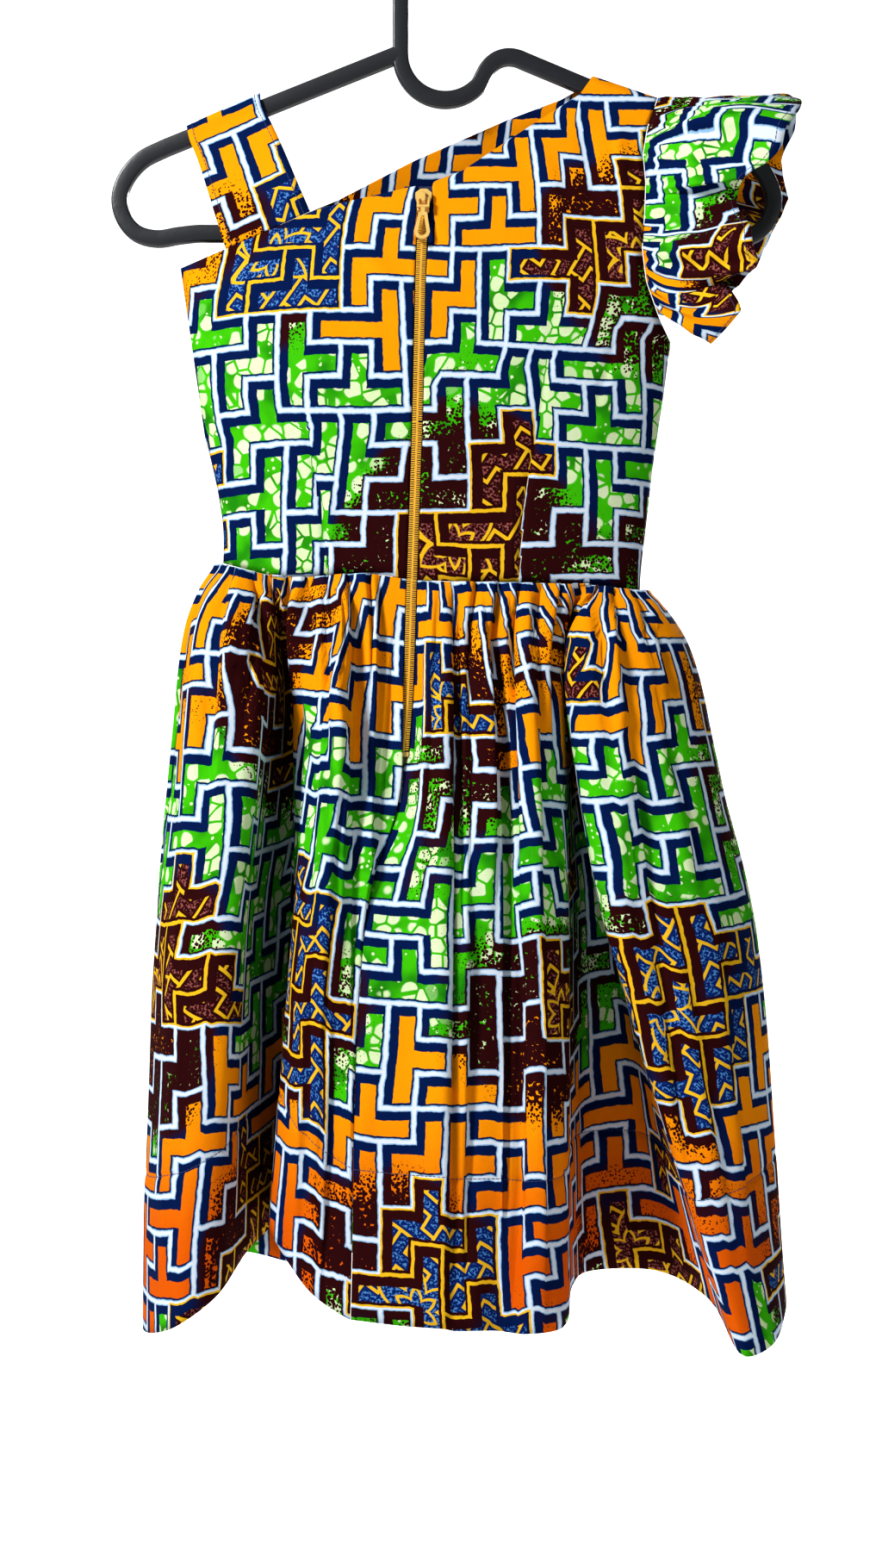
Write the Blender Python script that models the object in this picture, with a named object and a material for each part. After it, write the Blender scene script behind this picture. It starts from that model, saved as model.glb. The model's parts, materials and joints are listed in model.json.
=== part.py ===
"""A child's one-shoulder dress of printed cotton, zipped at the back and hung on a plastic hanger.

Millimetres are used in every table, and MM turns them into metres. X runs to the right as the back
of the dress is looked at, Y runs away through the dress to its front, and Z is up. The origin is the
inside top of the hanger's hook, where a rod carries it.
"""

import math

import bmesh
import bpy
from mathutils import Vector

MM = 0.001

# Driving sizes
CLOTH = 1.4
SEAM_GAP = 0.3
SLEEVE_GAP = 0.45
BODY_ROUNDNESS = 2.3
SHOULDER_TURN = 5.0
NORMAL_STEP = 1.5

# The tables below hold x and z as they are seen from this point, so that near folds look larger
EYE_X = -2.7
EYE_Z = -546.0
EYE_DISTANCE = 1100.0

# Hanger
ROD_SPACE = 23.0
BAR_HEIGHT = 10.0
BAR_DEPTH = 7.0
BAR_BEVEL = 1.5
HANGER_MIDDLE = 0.8
BEND = ROD_SPACE + BAR_HEIGHT / 2
NECK_FOOT = -89.5
HOOK_TIP_DROP = 13.0
LOWER_BAR_Z = -202.1

# Bodice sections: z, left side, right side, half depth
SECTIONS = (
    (-98.0, -180.0, 190.0, 8.0),
    (-126.0, -177.0, 184.0, 11.0),
    (-153.0, -174.0, 178.0, 16.5),
    (-190.0, -170.0, 170.0, 25.0),
    (-224.0, -165.5, 158.0, 32.0),
    (-247.0, -164.4, 149.0, 35.0),
    (-271.0, -163.0, 141.2, 36.5),
    (-306.0, -157.4, 136.0, 36.5),
    (-346.0, -146.0, 130.0, 34.0),
    (-384.0, -139.1, 125.6, 31.5),
    (-416.0, -139.0, 122.0, 31.0),
    (-440.0, -139.0, 121.5, 31.0),
)

# Zip: z, x of its middle line
ZIP_LINE = (
    (-165.0, -12.6),
    (-228.0, -15.6),
    (-325.0, -17.8),
    (-422.0, -21.0),
    (-489.0, -23.2),
    (-531.5, -26.4),
    (-540.0, -27.0),
)
ZIP_WAIST_Z = -419.0
ZIP_OPENING = 3.6
CHAIN_WIDTH = 6.4
CHAIN_PROUD = 0.8
TAPE_WIDTH = 12.0
TAPE_THICKNESS = 1.0
TAPE_CLEARANCE = 0.5
TAPE_COLUMNS = 5
SLIDER_BELOW_NECK = 4.0
SLIDER_LENGTH = 14.5
SLIDER_WIDTH = 10.0
SLIDER_PROUD = 3.2
SLIDER_SEAT = 0.4
SLIDER_TAPER = 2.6
SLIDER_TOP_SHARE = 0.55
SLIDER_WIDEST = (2.6, 5.2)
SLIDER_NARROW_FROM = 9.0
CROWN_HEIGHT = 4.4
CROWN_START = 3.2
CROWN_LENGTH = 7.0
CROWN_WIDTH = 2.2
CROWN_WIRE = 1.1
CROWN_SINK = 0.6
CROWN_STEPS = 8
PULL_THICKNESS = 1.3
PULL_SEAT = 1.7
PULL_EYE_WIDTH = 6.4
PULL_EYE_LENGTH = 6.6
PULL_EYE_WIRE = 1.3
PULL_NECK_LENGTH = 6.0
PULL_NECK_WIDTH = 2.6
PULL_NECK_THICKNESS = 0.9
PULL_OVERLAP = 1.2
PULL_TUCK = 2.0
PULL_HANGS_FROM = 20.0
PULL_DROP_LENGTH = 16.5
PULL_DROP_WIDTH = 9.6
PULL_DROP_WIRE = 2.1
PULL_DROP_TOP = 1.7
STOP_LENGTH = 3.0
STOP_FROM_END = 0.2

# Edges of the bodice, as x and z pairs
WAIST = ((-139.0, -408.0), (-102.0, -416.5), (-50.0, -414.5), (-15.0, -418.5), (80.0, -421.0), (121.8, -424.7))
WAIST_STEPS = 24
BACK_LEFT_ROWS = (0.0, 0.14, 0.28, 0.42, 0.55, 0.67, 0.78, 0.88, 0.95, 1.0)
ROWS_BELOW_ARMHOLE = 5
ARMHOLE_ROWS = (0.11, 0.23, 0.36, 0.5, 0.63, 0.75, 0.86, 0.94, 0.985, 1.0)
LEFT_SIDE_TOP = (-165.5, -223.7)
STRAP_SEAM = ((-137.4, -211.6), (-84.6, -188.4))
STRAP_COLUMNS = 5
NECK_POINT = (92.3, -103.4)
SHOULDER_POINT = (132.6, -117.0)

# Top edges from left to right: x, z and the columns of cloth to the next point
BACK_LEFT_TOP = (
    (*LEFT_SIDE_TOP, 3),
    (*STRAP_SEAM[0], STRAP_COLUMNS),
    (*STRAP_SEAM[1], 2),
    (-63.1, -182.2, 2),
    (-41.5, -177.3, 2),
    (-25.3, -173.6, 1),
    (-17.0, -171.8, 0),
)
BACK_RIGHT_TOP = (
    (-8.0, -169.6, 2),
    (10.2, -162.8, 3),
    (34.0, -147.1, 3),
    (60.9, -129.4, 2),
    (84.1, -114.8, 1),
    (88.6, -108.4, 1),
    (91.2, -104.9, 1),
    (*NECK_POINT, 4),
    (*SHOULDER_POINT, 0),
)
FRONT_TOP = (
    (*LEFT_SIDE_TOP, 3),
    (*STRAP_SEAM[0], STRAP_COLUMNS),
    (*STRAP_SEAM[1], 2),
    (-66.8, -181.1, 4),
    (-19.9, -156.8, 5),
    (39.3, -130.9, 3),
    (72.2, -118.6, 1),
    (84.0, -112.0, 1),
    (88.8, -107.2, 1),
    (91.2, -104.5, 1),
    (*NECK_POINT, 4),
    (*SHOULDER_POINT, 0),
)
ARMHOLE = (
    (141.2, -271.0),
    (133.7, -255.0),
    (125.5, -232.0),
    (122.9, -211.8),
    (124.5, -187.0),
    (125.1, -170.3),
    (123.4, -152.5),
    (126.1, -135.8),
    SHOULDER_POINT,
)

# Strap rows from its seam on the back up to the fold: left x, left z, right x, right z, y
STRAP_ROWS = (
    (-143.5, -192.0, -92.5, -170.0, -17.5),
    (-149.6, -172.0, -100.5, -151.0, -12.0),
    (-155.5, -154.0, -109.0, -132.5, -7.8),
    (-160.0, -143.0, -114.0, -123.0, -6.3),
    (-161.6, -135.6, -115.8, -116.6, -5.0),
)
STRAP_FOLD = (-161.8, -134.4, -116.0, -113.8, 0.0)
STRAP_SPREAD = 0.35
STRAP_SPREAD_FROM = 7.0

# Skirt stations as shares of the length from waist to hem
PUFF = 0.08
HIP = 0.205
KNEE = 0.49
ROW_SHARES = (0.0, 0.025, 0.07, 0.14, 0.24, 0.255, 0.38, 0.55, 0.78, 1.0)
ZIP_END_ROW = 4
COVER_ROW = 3
COVER_FORWARD = 3.2
COVER_EDGE = 0.5
WAIST_EVEN_SHARE = 0.7
WAIST_DROP = 0.35

# Fold lines of the skirt's back, left to right.
# Columns to the next line, then x and y at the puff, hip, knee and hem, and the hem's z
BACK_FOLDS = (
    ("left side", 4, -156, 0, -165, 0, -180.5, 0, -188.7, 0, -886),
    ("side bulge", 3, -139, -38, -144, -48, -157.5, -54, -168, -56, -885),
    ("sharp edge", 3, -120, -42, -119, -54, -132, -56, -145, -52, -868),
    ("valley wall", 4, -110, -27, -107, -15, -117, -8, -124, -6, -838),
    ("deep valley", 7, -98, -14, -93, 22, -94, 36, -104, 38, -818),
    ("inner edge", 6, -80, -40, -85, -38, -92.5, -38, -109, -36, -826),
    ("soft ridge", 6, -61, -42, -64, -56, -74, -60, -86, -56, -862),
    ("flat left", 7, -43, -41, -46, -51, -60, -58, -70, -62, -875),
    ("centre back", 3, -22.2, -40, -24, -48, -51.2, -56, -59.4, -64, -881),
    ("strip left", 3, -8, -43, -9, -53, -20, -63, -26, -68, -885),
    ("strip edge", 1, 1, -44, 1.1, -56, -0.5, -67, 0, -70, -887),
    ("strip back", 4, 3.6, -39, 4, -49, 3, -63, 5, -69, -888),
    ("flat right", 4, 15, -41, 15, -53, 16, -64, 18, -70, -888),
    ("groove", 6, 28.5, -38, 32, -44, 37.7, -53, 34, -62, -888),
    ("ridge", 6, 48.5, -42, 51, -57, 53, -66, 50, -71, -890),
    ("right edge", 2, 66, -41, 66.3, -51, 71.7, -58, 73, -60, -886),
    ("wall front", 2, 71.5, -25, 73, -14, 76, -12, 79, -14, -860),
    ("valley left", 2, 75, -10, 78.5, 18, 88, 34, 93, 38, -850),
    ("valley right", 2, 79.5, -12, 84, 18, 100, 34, 131, 38, -850),
    ("wall back", 2, 81.5, -28, 85, -18, 106, -12, 165, -8, -868),
    ("panel edge", 3, 86, -40, 87.5, -52, 110, -62, 188, -70, -904),
    ("second edge", 3, 108, -42, 120, -52, 140, -62, 203, -61, -898),
    ("right bulge", 3, 134, -31, 150, -38, 180, -44, 211.5, -30, -880),
    ("right side", 0, 146, 0, 163.5, 0, 194.6, 0, 211, 0, -863),
)

# Fold lines of the skirt's front, right to left, in the same columns
FRONT_FOLDS = (
    ("right ridge", 7, 108, 40, 124, 60, 146, 78, 160, 90, -838),
    ("right shoulder", 8, 78, 42, 92, 64, 108, 84, 116, 96, -834),
    ("first valley", 9, 50, 35, 56, 48, 60, 58, 62, 62, -846),
    ("middle ridge", 8, 22, 40, 24, 58, 26, 76, 28, 86, -838),
    ("second valley", 9, -6, 35, -8, 48, -9, 56, -10, 60, -846),
    ("left ridge", 8, -36, 40, -42, 60, -48, 78, -52, 90, -838),
    ("third valley", 9, -62, 34, -72, 50, -80, 60, -86, 66, -846),
    ("outer ridge", 10, -96, 40, -108, 62, -120, 82, -130, 94, -838),
    ("outer slope", 10, -130, 27, -144, 42, -158, 52, -168, 58, -850),
)
FIRST_FRONT_COLUMNS = 10
LAST_OF_LEFT = "left edge of centre back"
COLUMNS_PER_GATHER = 4
GATHER_DEPTH = 5.4
GATHER_RISE = 0.03
GATHER_FADE = 0.36
GATHER_FADE_POWER = 1.3
GATHERED_WALL = 2.1
FLAT_BY_ZIP = 6

# Ruffled cap sleeve: share along the armhole, then x, y, z of its middle and of its outer edge.
# Shares run from the underarm on the back, 0, over the shoulder, 1, to the underarm on the front, 2
RUFFLE_ROWS = (
    (0.15, 148.0, -42.0, -262.0, 166.0, -46.0, -272.0),
    (0.20, 152.0, -50.0, -252.0, 184.0, -68.0, -250.0),
    (0.26, 147.0, -38.0, -240.0, 176.0, -44.0, -229.0),
    (0.32, 151.0, -45.0, -227.0, 194.0, -68.0, -223.5),
    (0.40, 152.0, -42.0, -206.0, 192.0, -64.0, -200.0),
    (0.48, 152.0, -30.0, -190.0, 182.0, -38.0, -181.0),
    (0.58, 154.0, -34.0, -172.0, 188.0, -54.0, -166.0),
    (0.68, 158.0, -42.0, -157.0, 202.0, -62.0, -155.0),
    (0.76, 164.0, -36.0, -139.0, 212.0, -56.0, -143.0),
    (0.84, 168.0, -27.0, -123.0, 221.0, -40.0, -126.0),
    (0.92, 168.0, -14.0, -116.5, 222.0, -20.0, -115.5),
    (1.00, 166.0, 0.0, -117.0, 209.0, 0.0, -113.5),
    (1.08, 168.0, 14.0, -116.0, 218.0, 22.0, -116.5),
    (1.18, 166.0, 30.0, -127.0, 219.0, 46.0, -135.0),
    (1.30, 160.0, 32.0, -146.0, 210.0, 34.0, -157.0),
    (1.42, 160.0, 42.0, -168.0, 214.0, 60.0, -180.0),
    (1.55, 154.0, 36.0, -192.0, 204.0, 40.0, -202.0),
    (1.68, 150.0, 42.0, -214.0, 194.0, 62.0, -222.0),
    (1.80, 147.0, 38.0, -236.0, 178.0, 42.0, -240.0),
    (1.85, 148.0, 36.0, -256.0, 166.0, 42.0, -268.0),
)
RUFFLE_STEPS = 3
SHOULDER_EASE = 0.8
SHOULDER_EASE_SHARE = 0.2
RUFFLE_LENGTHWAYS = (0.0, 0.28, 0.55, 0.8, 1.0)

# Colours, linear red, green and blue
PRINT_ORANGE = (0.83, 0.30, 0.01)
PRINT_GREEN = (0.12, 0.50, 0.02)
ZIP_GOLD = (0.72, 0.42, 0.09)
TAPE_NAVY = (0.01, 0.03, 0.12)
HANGER_BLACK = (0.02, 0.022, 0.026)


def clear_scene():
    for obj in list(bpy.data.objects):
        bpy.data.objects.remove(obj, do_unlink=True)


def material(name, colour, roughness, metallic=0.0):
    made = bpy.data.materials.new(name)
    made.use_nodes = True
    shader = made.node_tree.nodes["Principled BSDF"]
    shader.inputs["Base Color"].default_value = (*colour, 1.0)
    shader.inputs["Roughness"].default_value = roughness
    shader.inputs["Metallic"].default_value = metallic
    return made


def smooth_read(rows, at, column):
    """Read a column of a table, sorted downwards by its first column, on a smooth curve."""
    keys = [row[0] for row in rows]
    values = [row[column] for row in rows]
    if at >= keys[0]:
        return values[0]
    if at <= keys[-1]:
        return values[-1]
    low = next(index for index in range(len(keys) - 1) if at >= keys[index + 1])
    return hermite(keys, values, low, at)


def hermite(keys, values, low, at):
    """A cubic through the values between keys low and low + 1."""
    span = keys[low + 1] - keys[low]
    share = (at - keys[low]) / span

    def slope(index):
        before = max(index - 1, 0)
        after = min(index + 1, len(keys) - 1)
        return (values[after] - values[before]) / (keys[after] - keys[before])

    square = share * share
    cube = square * share
    start = (2 * cube - 3 * square + 1) * values[low]
    leave = (cube - 2 * square + share) * span * slope(low)
    end = (3 * square - 2 * cube) * values[low + 1]
    arrive = (cube - square) * span * slope(low + 1)
    return start + leave + end + arrive


def along(points, share):
    """The point at a share of a polyline's length."""
    lengths = [(Vector(b) - Vector(a)).length for a, b in zip(points, points[1:])]
    left = share * sum(lengths)
    for index, length in enumerate(lengths):
        if left <= length or index == len(lengths) - 1:
            return Vector(points[index]).lerp(Vector(points[index + 1]), left / length)
        left -= length


def spline_point(before, start, end, after, share):
    """A point between start and end on a centripetal curve through four points."""
    knots = [0.0]
    for first, second in ((before, start), (start, end), (end, after)):
        knots.append(knots[-1] + max((second - first).length, 0.01) ** 0.5)
    at = knots[1] + share * (knots[2] - knots[1])

    def mix(a, b, low, high):
        return a.lerp(b, (at - low) / (high - low))

    first = mix(before, start, knots[0], knots[1])
    second = mix(start, end, knots[1], knots[2])
    third = mix(end, after, knots[2], knots[3])
    early = mix(first, second, knots[0], knots[2])
    late = mix(second, third, knots[1], knots[3])
    return mix(early, late, knots[1], knots[2])


def place(x, y, z):
    """Put a point that is seen at x and z at its depth y."""
    scale = 1.0 + y / EYE_DISTANCE
    return Vector((EYE_X + (x - EYE_X) * scale, y, EYE_Z + (z - EYE_Z) * scale))


def section(z):
    left = smooth_read(SECTIONS, z, 1)
    right = smooth_read(SECTIONS, z, 2)
    return (left + right) / 2, (right - left) / 2, smooth_read(SECTIONS, z, 3)


def shoulder_line(x):
    slope = (SHOULDER_POINT[1] - NECK_POINT[1]) / (SHOULDER_POINT[0] - NECK_POINT[0])
    return NECK_POINT[1] + slope * max(x - NECK_POINT[0], 0.0)


def body_depth(x, z):
    """Half the bodice's depth at a seen point, closed at its sides and over the shoulder."""
    middle, half_width, half_depth = section(z)
    across = min(abs((x - middle) / half_width), 1.0)
    round_share = (1.0 - across**BODY_ROUNDNESS) ** (1.0 / BODY_ROUNDNESS)
    drop = min(max((shoulder_line(x) - z) / SHOULDER_TURN, 0.0), 1.0)
    roof = math.sqrt(1.0 - (1.0 - drop) ** 2)
    return SEAM_GAP / 2 + half_depth * round_share * roof


def body_normal(x, z, side):
    """The bodice's outward direction; side is -1 on the back and 1 on the front."""
    middle, half_width, half_depth = section(z)
    step = NORMAL_STEP
    drop = min(max((shoulder_line(x) - z) / SHOULDER_TURN, 0.0), 1.0)
    across = max(-1.0, min(1.0, (x - middle) / half_width))
    roof = math.sqrt(1.0 - (1.0 - drop) ** 2)
    outward_x = roof * math.copysign(abs(across) ** (BODY_ROUNDNESS - 1), across) / half_width
    depth_share = (1.0 - abs(across) ** BODY_ROUNDNESS) ** (1.0 / BODY_ROUNDNESS)
    outward_y = roof * side * depth_share ** (BODY_ROUNDNESS - 1) / half_depth
    deeper = (section(z - step)[2] - section(z + step)[2]) / (2 * step)
    outward_z = deeper * abs(outward_y) + (1.0 - drop) / SHOULDER_TURN
    return Vector((outward_x, outward_y, outward_z)).normalized()


def angle_at(x, z):
    middle, half_width, _ = section(z)
    return math.asin(max(-1.0, min(1.0, (x - middle) / half_width)))


def x_at(angle, z):
    middle, half_width, _ = section(z)
    return middle + half_width * math.sin(angle)


def spread(edge):
    """Shares of an edge's length at which its columns stand, so that each of its points has one."""
    places = [Vector(row[:2]) for row in edge]
    lengths = [(b - a).length for a, b in zip(places, places[1:])]
    total = sum(lengths)
    shares = [0.0]
    passed = 0.0
    for length, row in zip(lengths, edge):
        shares += [(passed + length * (step + 1) / row[2]) / total for step in range(row[2])]
        passed += length
    return shares


def panel(bottom, top_edge, left, right, rows, side):
    """A bodice panel between four edges, as rows of (outer, inner) points from the waist up."""
    top = [row[:2] for row in top_edge]

    def edge(points, share):
        x, z = along(points, share)
        return Vector((angle_at(x, z), z))

    corners = [edge(bottom, 0), edge(bottom, 1), edge(top, 0), edge(top, 1)]
    grid = []
    for up in rows:
        line = []
        for over in spread(top_edge):
            ruled = edge(bottom, over) * (1 - up) + edge(top, over) * up
            crossed = edge(left, up) * (1 - over) + edge(right, up) * over
            low = corners[0] * (1 - over) + corners[1] * over
            high = corners[2] * (1 - over) + corners[3] * over
            angle, z = ruled + crossed - (low * (1 - up) + high * up)
            x = x_at(angle, z)
            outer = place(x, side * body_depth(x, z), z)
            line.append((outer, outer - CLOTH * body_normal(x, z, side)))
        grid.append(line)
    return grid


def armhole_rows():
    """Shares up a panel's right edge at which its rows stand, one of them at the underarm."""
    side = (Vector(ARMHOLE[0]) - Vector(WAIST[-1])).length
    armhole = sum((Vector(b) - Vector(a)).length for a, b in zip(ARMHOLE, ARMHOLE[1:]))
    underarm = side / (side + armhole)
    below = [underarm * row / ROWS_BELOW_ARMHOLE for row in range(ROWS_BELOW_ARMHOLE + 1)]
    return below + [underarm + (1.0 - underarm) * share for share in ARMHOLE_ROWS]


def zip_edge(offset, top):
    """The bodice's edge beside the zip, from the waist up."""
    rows = [row for row in reversed(ZIP_LINE) if row[0] > waist_height(row[1]) and row[0] < top[1]]
    foot_x = smooth_read(ZIP_LINE, ZIP_WAIST_Z, 1) + offset
    foot = (foot_x, waist_height(foot_x))
    return (foot, *((x + offset, z) for z, x in rows), top)


def waist_height(x):
    rows = [(-px, pz) for px, pz in WAIST]
    return smooth_read(rows, -x, 1)


def waist_between(start, end):
    steps = [start + (end - start) * step / WAIST_STEPS for step in range(WAIST_STEPS + 1)]
    return tuple((x, waist_height(x)) for x in steps)


def bodice_grids():
    left_foot = WAIST[0]
    right_foot = WAIST[-1]
    left_side = (left_foot, LEFT_SIDE_TOP)
    right_side = (right_foot, *ARMHOLE)
    left_zip = zip_edge(-ZIP_OPENING, BACK_LEFT_TOP[-1][:2])
    right_zip = zip_edge(ZIP_OPENING, BACK_RIGHT_TOP[0][:2])
    left_waist = waist_between(left_foot[0], left_zip[0][0])
    right_waist = waist_between(right_zip[0][0], right_foot[0])
    front_waist = waist_between(left_foot[0], right_foot[0])
    back_left = panel(left_waist, BACK_LEFT_TOP, left_side, left_zip, BACK_LEFT_ROWS, -1)
    back_right = panel(right_waist, BACK_RIGHT_TOP, right_zip, right_side, armhole_rows(), -1)
    front = panel(front_waist, FRONT_TOP, left_side, right_side, armhole_rows(), 1)
    return back_left, back_right, front


def solid_from_grid(name, grid, finish):
    """Close rows of (outer, inner) points into one wall of cloth with its outside facing out."""
    rows = len(grid)
    columns = len(grid[0])
    mesh = bmesh.new()
    outer = [[mesh.verts.new(point[0] * MM) for point in line] for line in grid]
    inner = [[mesh.verts.new(point[1] * MM) for point in line] for line in grid]
    for row in range(rows - 1):
        for column in range(columns - 1):
            for sheet in (outer, inner):
                low, high = sheet[row], sheet[row + 1]
                mesh.faces.new((low[column], low[column + 1], high[column + 1], high[column]))
    rim = [(0, column) for column in range(columns - 1)]
    rim += [(row, columns - 1) for row in range(rows - 1)]
    rim += [(rows - 1, column) for column in range(columns - 1, 0, -1)]
    rim += [(row, 0) for row in range(rows - 1, 0, -1)]
    for (row, column), (next_row, next_column) in zip(rim, rim[1:] + rim[:1]):
        near = outer[row][column]
        far = outer[next_row][next_column]
        mesh.faces.new((near, far, inner[next_row][next_column], inner[row][column]))
    return finish_mesh(name, mesh, finish)


def finish_mesh(name, mesh, finish, smooth=40.0):
    bmesh.ops.recalc_face_normals(mesh, faces=mesh.faces)
    bmesh.ops.triangulate(mesh, faces=mesh.faces)
    data = bpy.data.meshes.new(name)
    mesh.to_mesh(data)
    mesh.free()
    data.materials.append(finish)
    data.shade_smooth()
    data.set_sharp_from_angle(angle=math.radians(smooth))
    obj = bpy.data.objects.new(name, data)
    bpy.context.scene.collection.objects.link(obj)
    return obj


def strap_grid():
    """The strap: up from the back's seam, over the hanger's arm and down to the front's seam."""
    seam_left, seam_right = STRAP_SEAM
    seam = (*seam_left, *seam_right, None)
    far_side = tuple((*row[:4], -row[4]) for row in reversed(STRAP_ROWS))
    rows = (seam, *STRAP_ROWS, STRAP_FOLD, *far_side, seam)
    columns = STRAP_COLUMNS
    outer = []
    for number, (left_x, left_z, right_x, right_z, depth) in enumerate(rows):
        side = -1 if number < len(rows) / 2 else 1
        line = []
        for column in range(columns + 1):
            over = column / columns
            x = left_x + (right_x - left_x) * over
            z = left_z + (right_z - left_z) * over
            if depth is None:
                y = side * body_depth(x, z)
            else:
                spread_share = STRAP_SPREAD * over if abs(depth) > STRAP_SPREAD_FROM else 0.0
                y = depth * (1 + spread_share)
            line.append(place(x, y, z))
        outer.append(line)
    grid = with_inside(outer, flip=True)
    for line, side in ((grid[0], -1), (grid[-1], 1)):
        for column, (point, _) in enumerate(line):
            x = seam_left[0] + (seam_right[0] - seam_left[0]) * column / columns
            z = seam_left[1] + (seam_right[1] - seam_left[1]) * column / columns
            raised = point + Vector((0.0, 0.0, SLEEVE_GAP))
            line[column] = (raised, raised - CLOTH * body_normal(x, z, side))
    return grid


def with_inside(outer, flip=False):
    """Pair each point of a sheet with one a wall's thickness behind it."""
    rows = len(outer)
    columns = len(outer[0])
    sign = -1.0 if flip else 1.0
    grid = []
    for row in range(rows):
        line = []
        for column in range(columns):
            down = outer[min(row + 1, rows - 1)][column] - outer[max(row - 1, 0)][column]
            over = outer[row][min(column + 1, columns - 1)] - outer[row][max(column - 1, 0)]
            normal = sign * down.cross(over).normalized()
            line.append((outer[row][column], outer[row][column] - CLOTH * normal))
        grid.append(line)
    return grid


def armhole_lines(back_right, front):
    """The armhole's edge on the back and on the front, from the underarm up."""
    return [[line[-1][0] for line in grid[ROWS_BELOW_ARMHOLE:]] for grid in (back_right, front)]


def armhole_point(back_line, front_line, around):
    """A point of the ruffle's seam, just outside the armhole's edge."""
    line = back_line if around <= 1.0 else front_line
    point = along(line, around if around <= 1.0 else 2.0 - around)
    if abs(around - 1.0) < 1e-6:
        point.y = 0.0
    ease = SHOULDER_EASE * max(0.0, 1.0 - abs(around - 1.0) / SHOULDER_EASE_SHARE)
    return point + Vector((SLEEVE_GAP + ease, 0.0, 0.0))


def ruffle_grid(back_right, front):
    """The cap sleeve: a wavy strip from the armhole's edge to a free outer edge."""
    back_line, front_line = armhole_lines(back_right, front)
    stations = [(row[0], place(*row[1:4]), place(*row[4:])) for row in RUFFLE_ROWS]
    columns = []
    for index in range(len(stations) - 1):
        quad = [stations[max(0, min(len(stations) - 1, index + step))] for step in (-1, 0, 1, 2)]
        last = index == len(stations) - 2
        for step in range(RUFFLE_STEPS + last):
            share = step / RUFFLE_STEPS
            around = quad[1][0] + (quad[2][0] - quad[1][0]) * share
            seam = armhole_point(back_line, front_line, around)
            middle = spline_point(*(item[1] for item in quad), share)
            edge = spline_point(*(item[2] for item in quad), share)
            columns.append((seam, middle, edge))
    outer = []
    for share in RUFFLE_LENGTHWAYS:
        line = []
        for seam, middle, edge in columns:
            bend = middle * 2 - (seam + edge) / 2
            line.append(seam * (1 - share) ** 2 + bend * 2 * share * (1 - share) + edge * share**2)
        outer.append(line)
    return with_inside(outer)


def fold_points(share):
    """The fold lines' places at a share of the skirt's length, with their columns."""
    total = sum(row[1] for row in BACK_FOLDS)
    front_total = FIRST_FRONT_COLUMNS + sum(row[1] for row in FRONT_FOLDS)
    left, right = WAIST[0][0], WAIST[-1][0]
    points = []
    passed = 0
    for row in BACK_FOLDS:
        points.append(fold_point(row, share, left, right, passed / total, -1))
        passed += row[1]
    passed = FIRST_FRONT_COLUMNS
    for row in FRONT_FOLDS:
        points.append(fold_point(row, share, right, left, passed / front_total, 1))
        passed += row[1]
    return points


def fold_point(row, share, start, end, around, side):
    """One fold line at a share of the length: x, y and z as seen, with y set by the waist at its top."""
    name = row[0]
    turned = 2 * around - 1
    turned = WAIST_EVEN_SHARE * turned + (1 - WAIST_EVEN_SHARE) * math.sin(math.pi / 2 * turned)
    waist_x = (start + end) / 2 + turned * (end - start) / 2
    if name == "centre back":
        waist_x = smooth_read(ZIP_LINE, ZIP_WAIST_Z, 1)
    waist_z = waist_height(waist_x)
    waist_y = side * body_depth(waist_x, waist_z)
    if name in ("left side", "right side"):
        waist_y = 0.0
    shares = (0.0, PUFF, HIP, KNEE, 1.0)
    x = curve_value(shares, (waist_x, *row[2:10:2]), share)
    y = curve_value(shares, (waist_y, *row[3:10:2]), share)
    z = waist_z + (row[10] - waist_z) * share
    return name, row[1], Vector((x, y, z))


def curve_value(keys, values, at):
    low = max(index for index in range(len(keys) - 1) if at >= keys[index])
    return hermite(keys, values, low, at)


def centre_back_edges(point, row):
    """The skirt's two edges at its centre back: beside the chain, then closed below it."""
    middle = point.copy()
    if row <= ZIP_END_ROW + 1:
        middle.x = smooth_read(ZIP_LINE, point.z, 1)
    half_gap = ZIP_OPENING if row <= ZIP_END_ROW else SEAM_GAP / 2
    left = middle - Vector((half_gap, 0.0, 0.0))
    right = middle + Vector((half_gap, 0.0, 0.0))
    if row in (COVER_ROW, ZIP_END_ROW, ZIP_END_ROW + 1):
        left.y -= COVER_FORWARD
    if row == ZIP_END_ROW:
        left.x = middle.x - COVER_EDGE
    return left, right


def gather_strength(share):
    """How deep the gathers are: half at the seam, full just below it, none by the fade."""
    rise = 0.5 + 0.5 * min(share / GATHER_RISE, 1.0)
    return rise * max(1.0 - share / GATHER_FADE, 0.0) ** GATHER_FADE_POWER


def skirt_ring(row, share):
    """One ring of the skirt: the fold that each column starts from, and the column's point."""
    folds = []
    for name, columns, point in fold_points(share):
        if name == "centre back":
            left, right = centre_back_edges(point, row)
            folds.append((LAST_OF_LEFT, 1, left))
            folds.append((name, columns, right))
        else:
            folds.append((name, FIRST_FRONT_COLUMNS if name == "right side" else columns, point))
    count = len(folds)
    run = []
    for index, (name, columns, _) in enumerate(folds):
        quad = [folds[(index + step) % count][2] for step in (-1, 0, 1, 2)]
        run += [(name, spline_point(*quad, step / columns)) for step in range(columns)]
    return run


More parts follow.
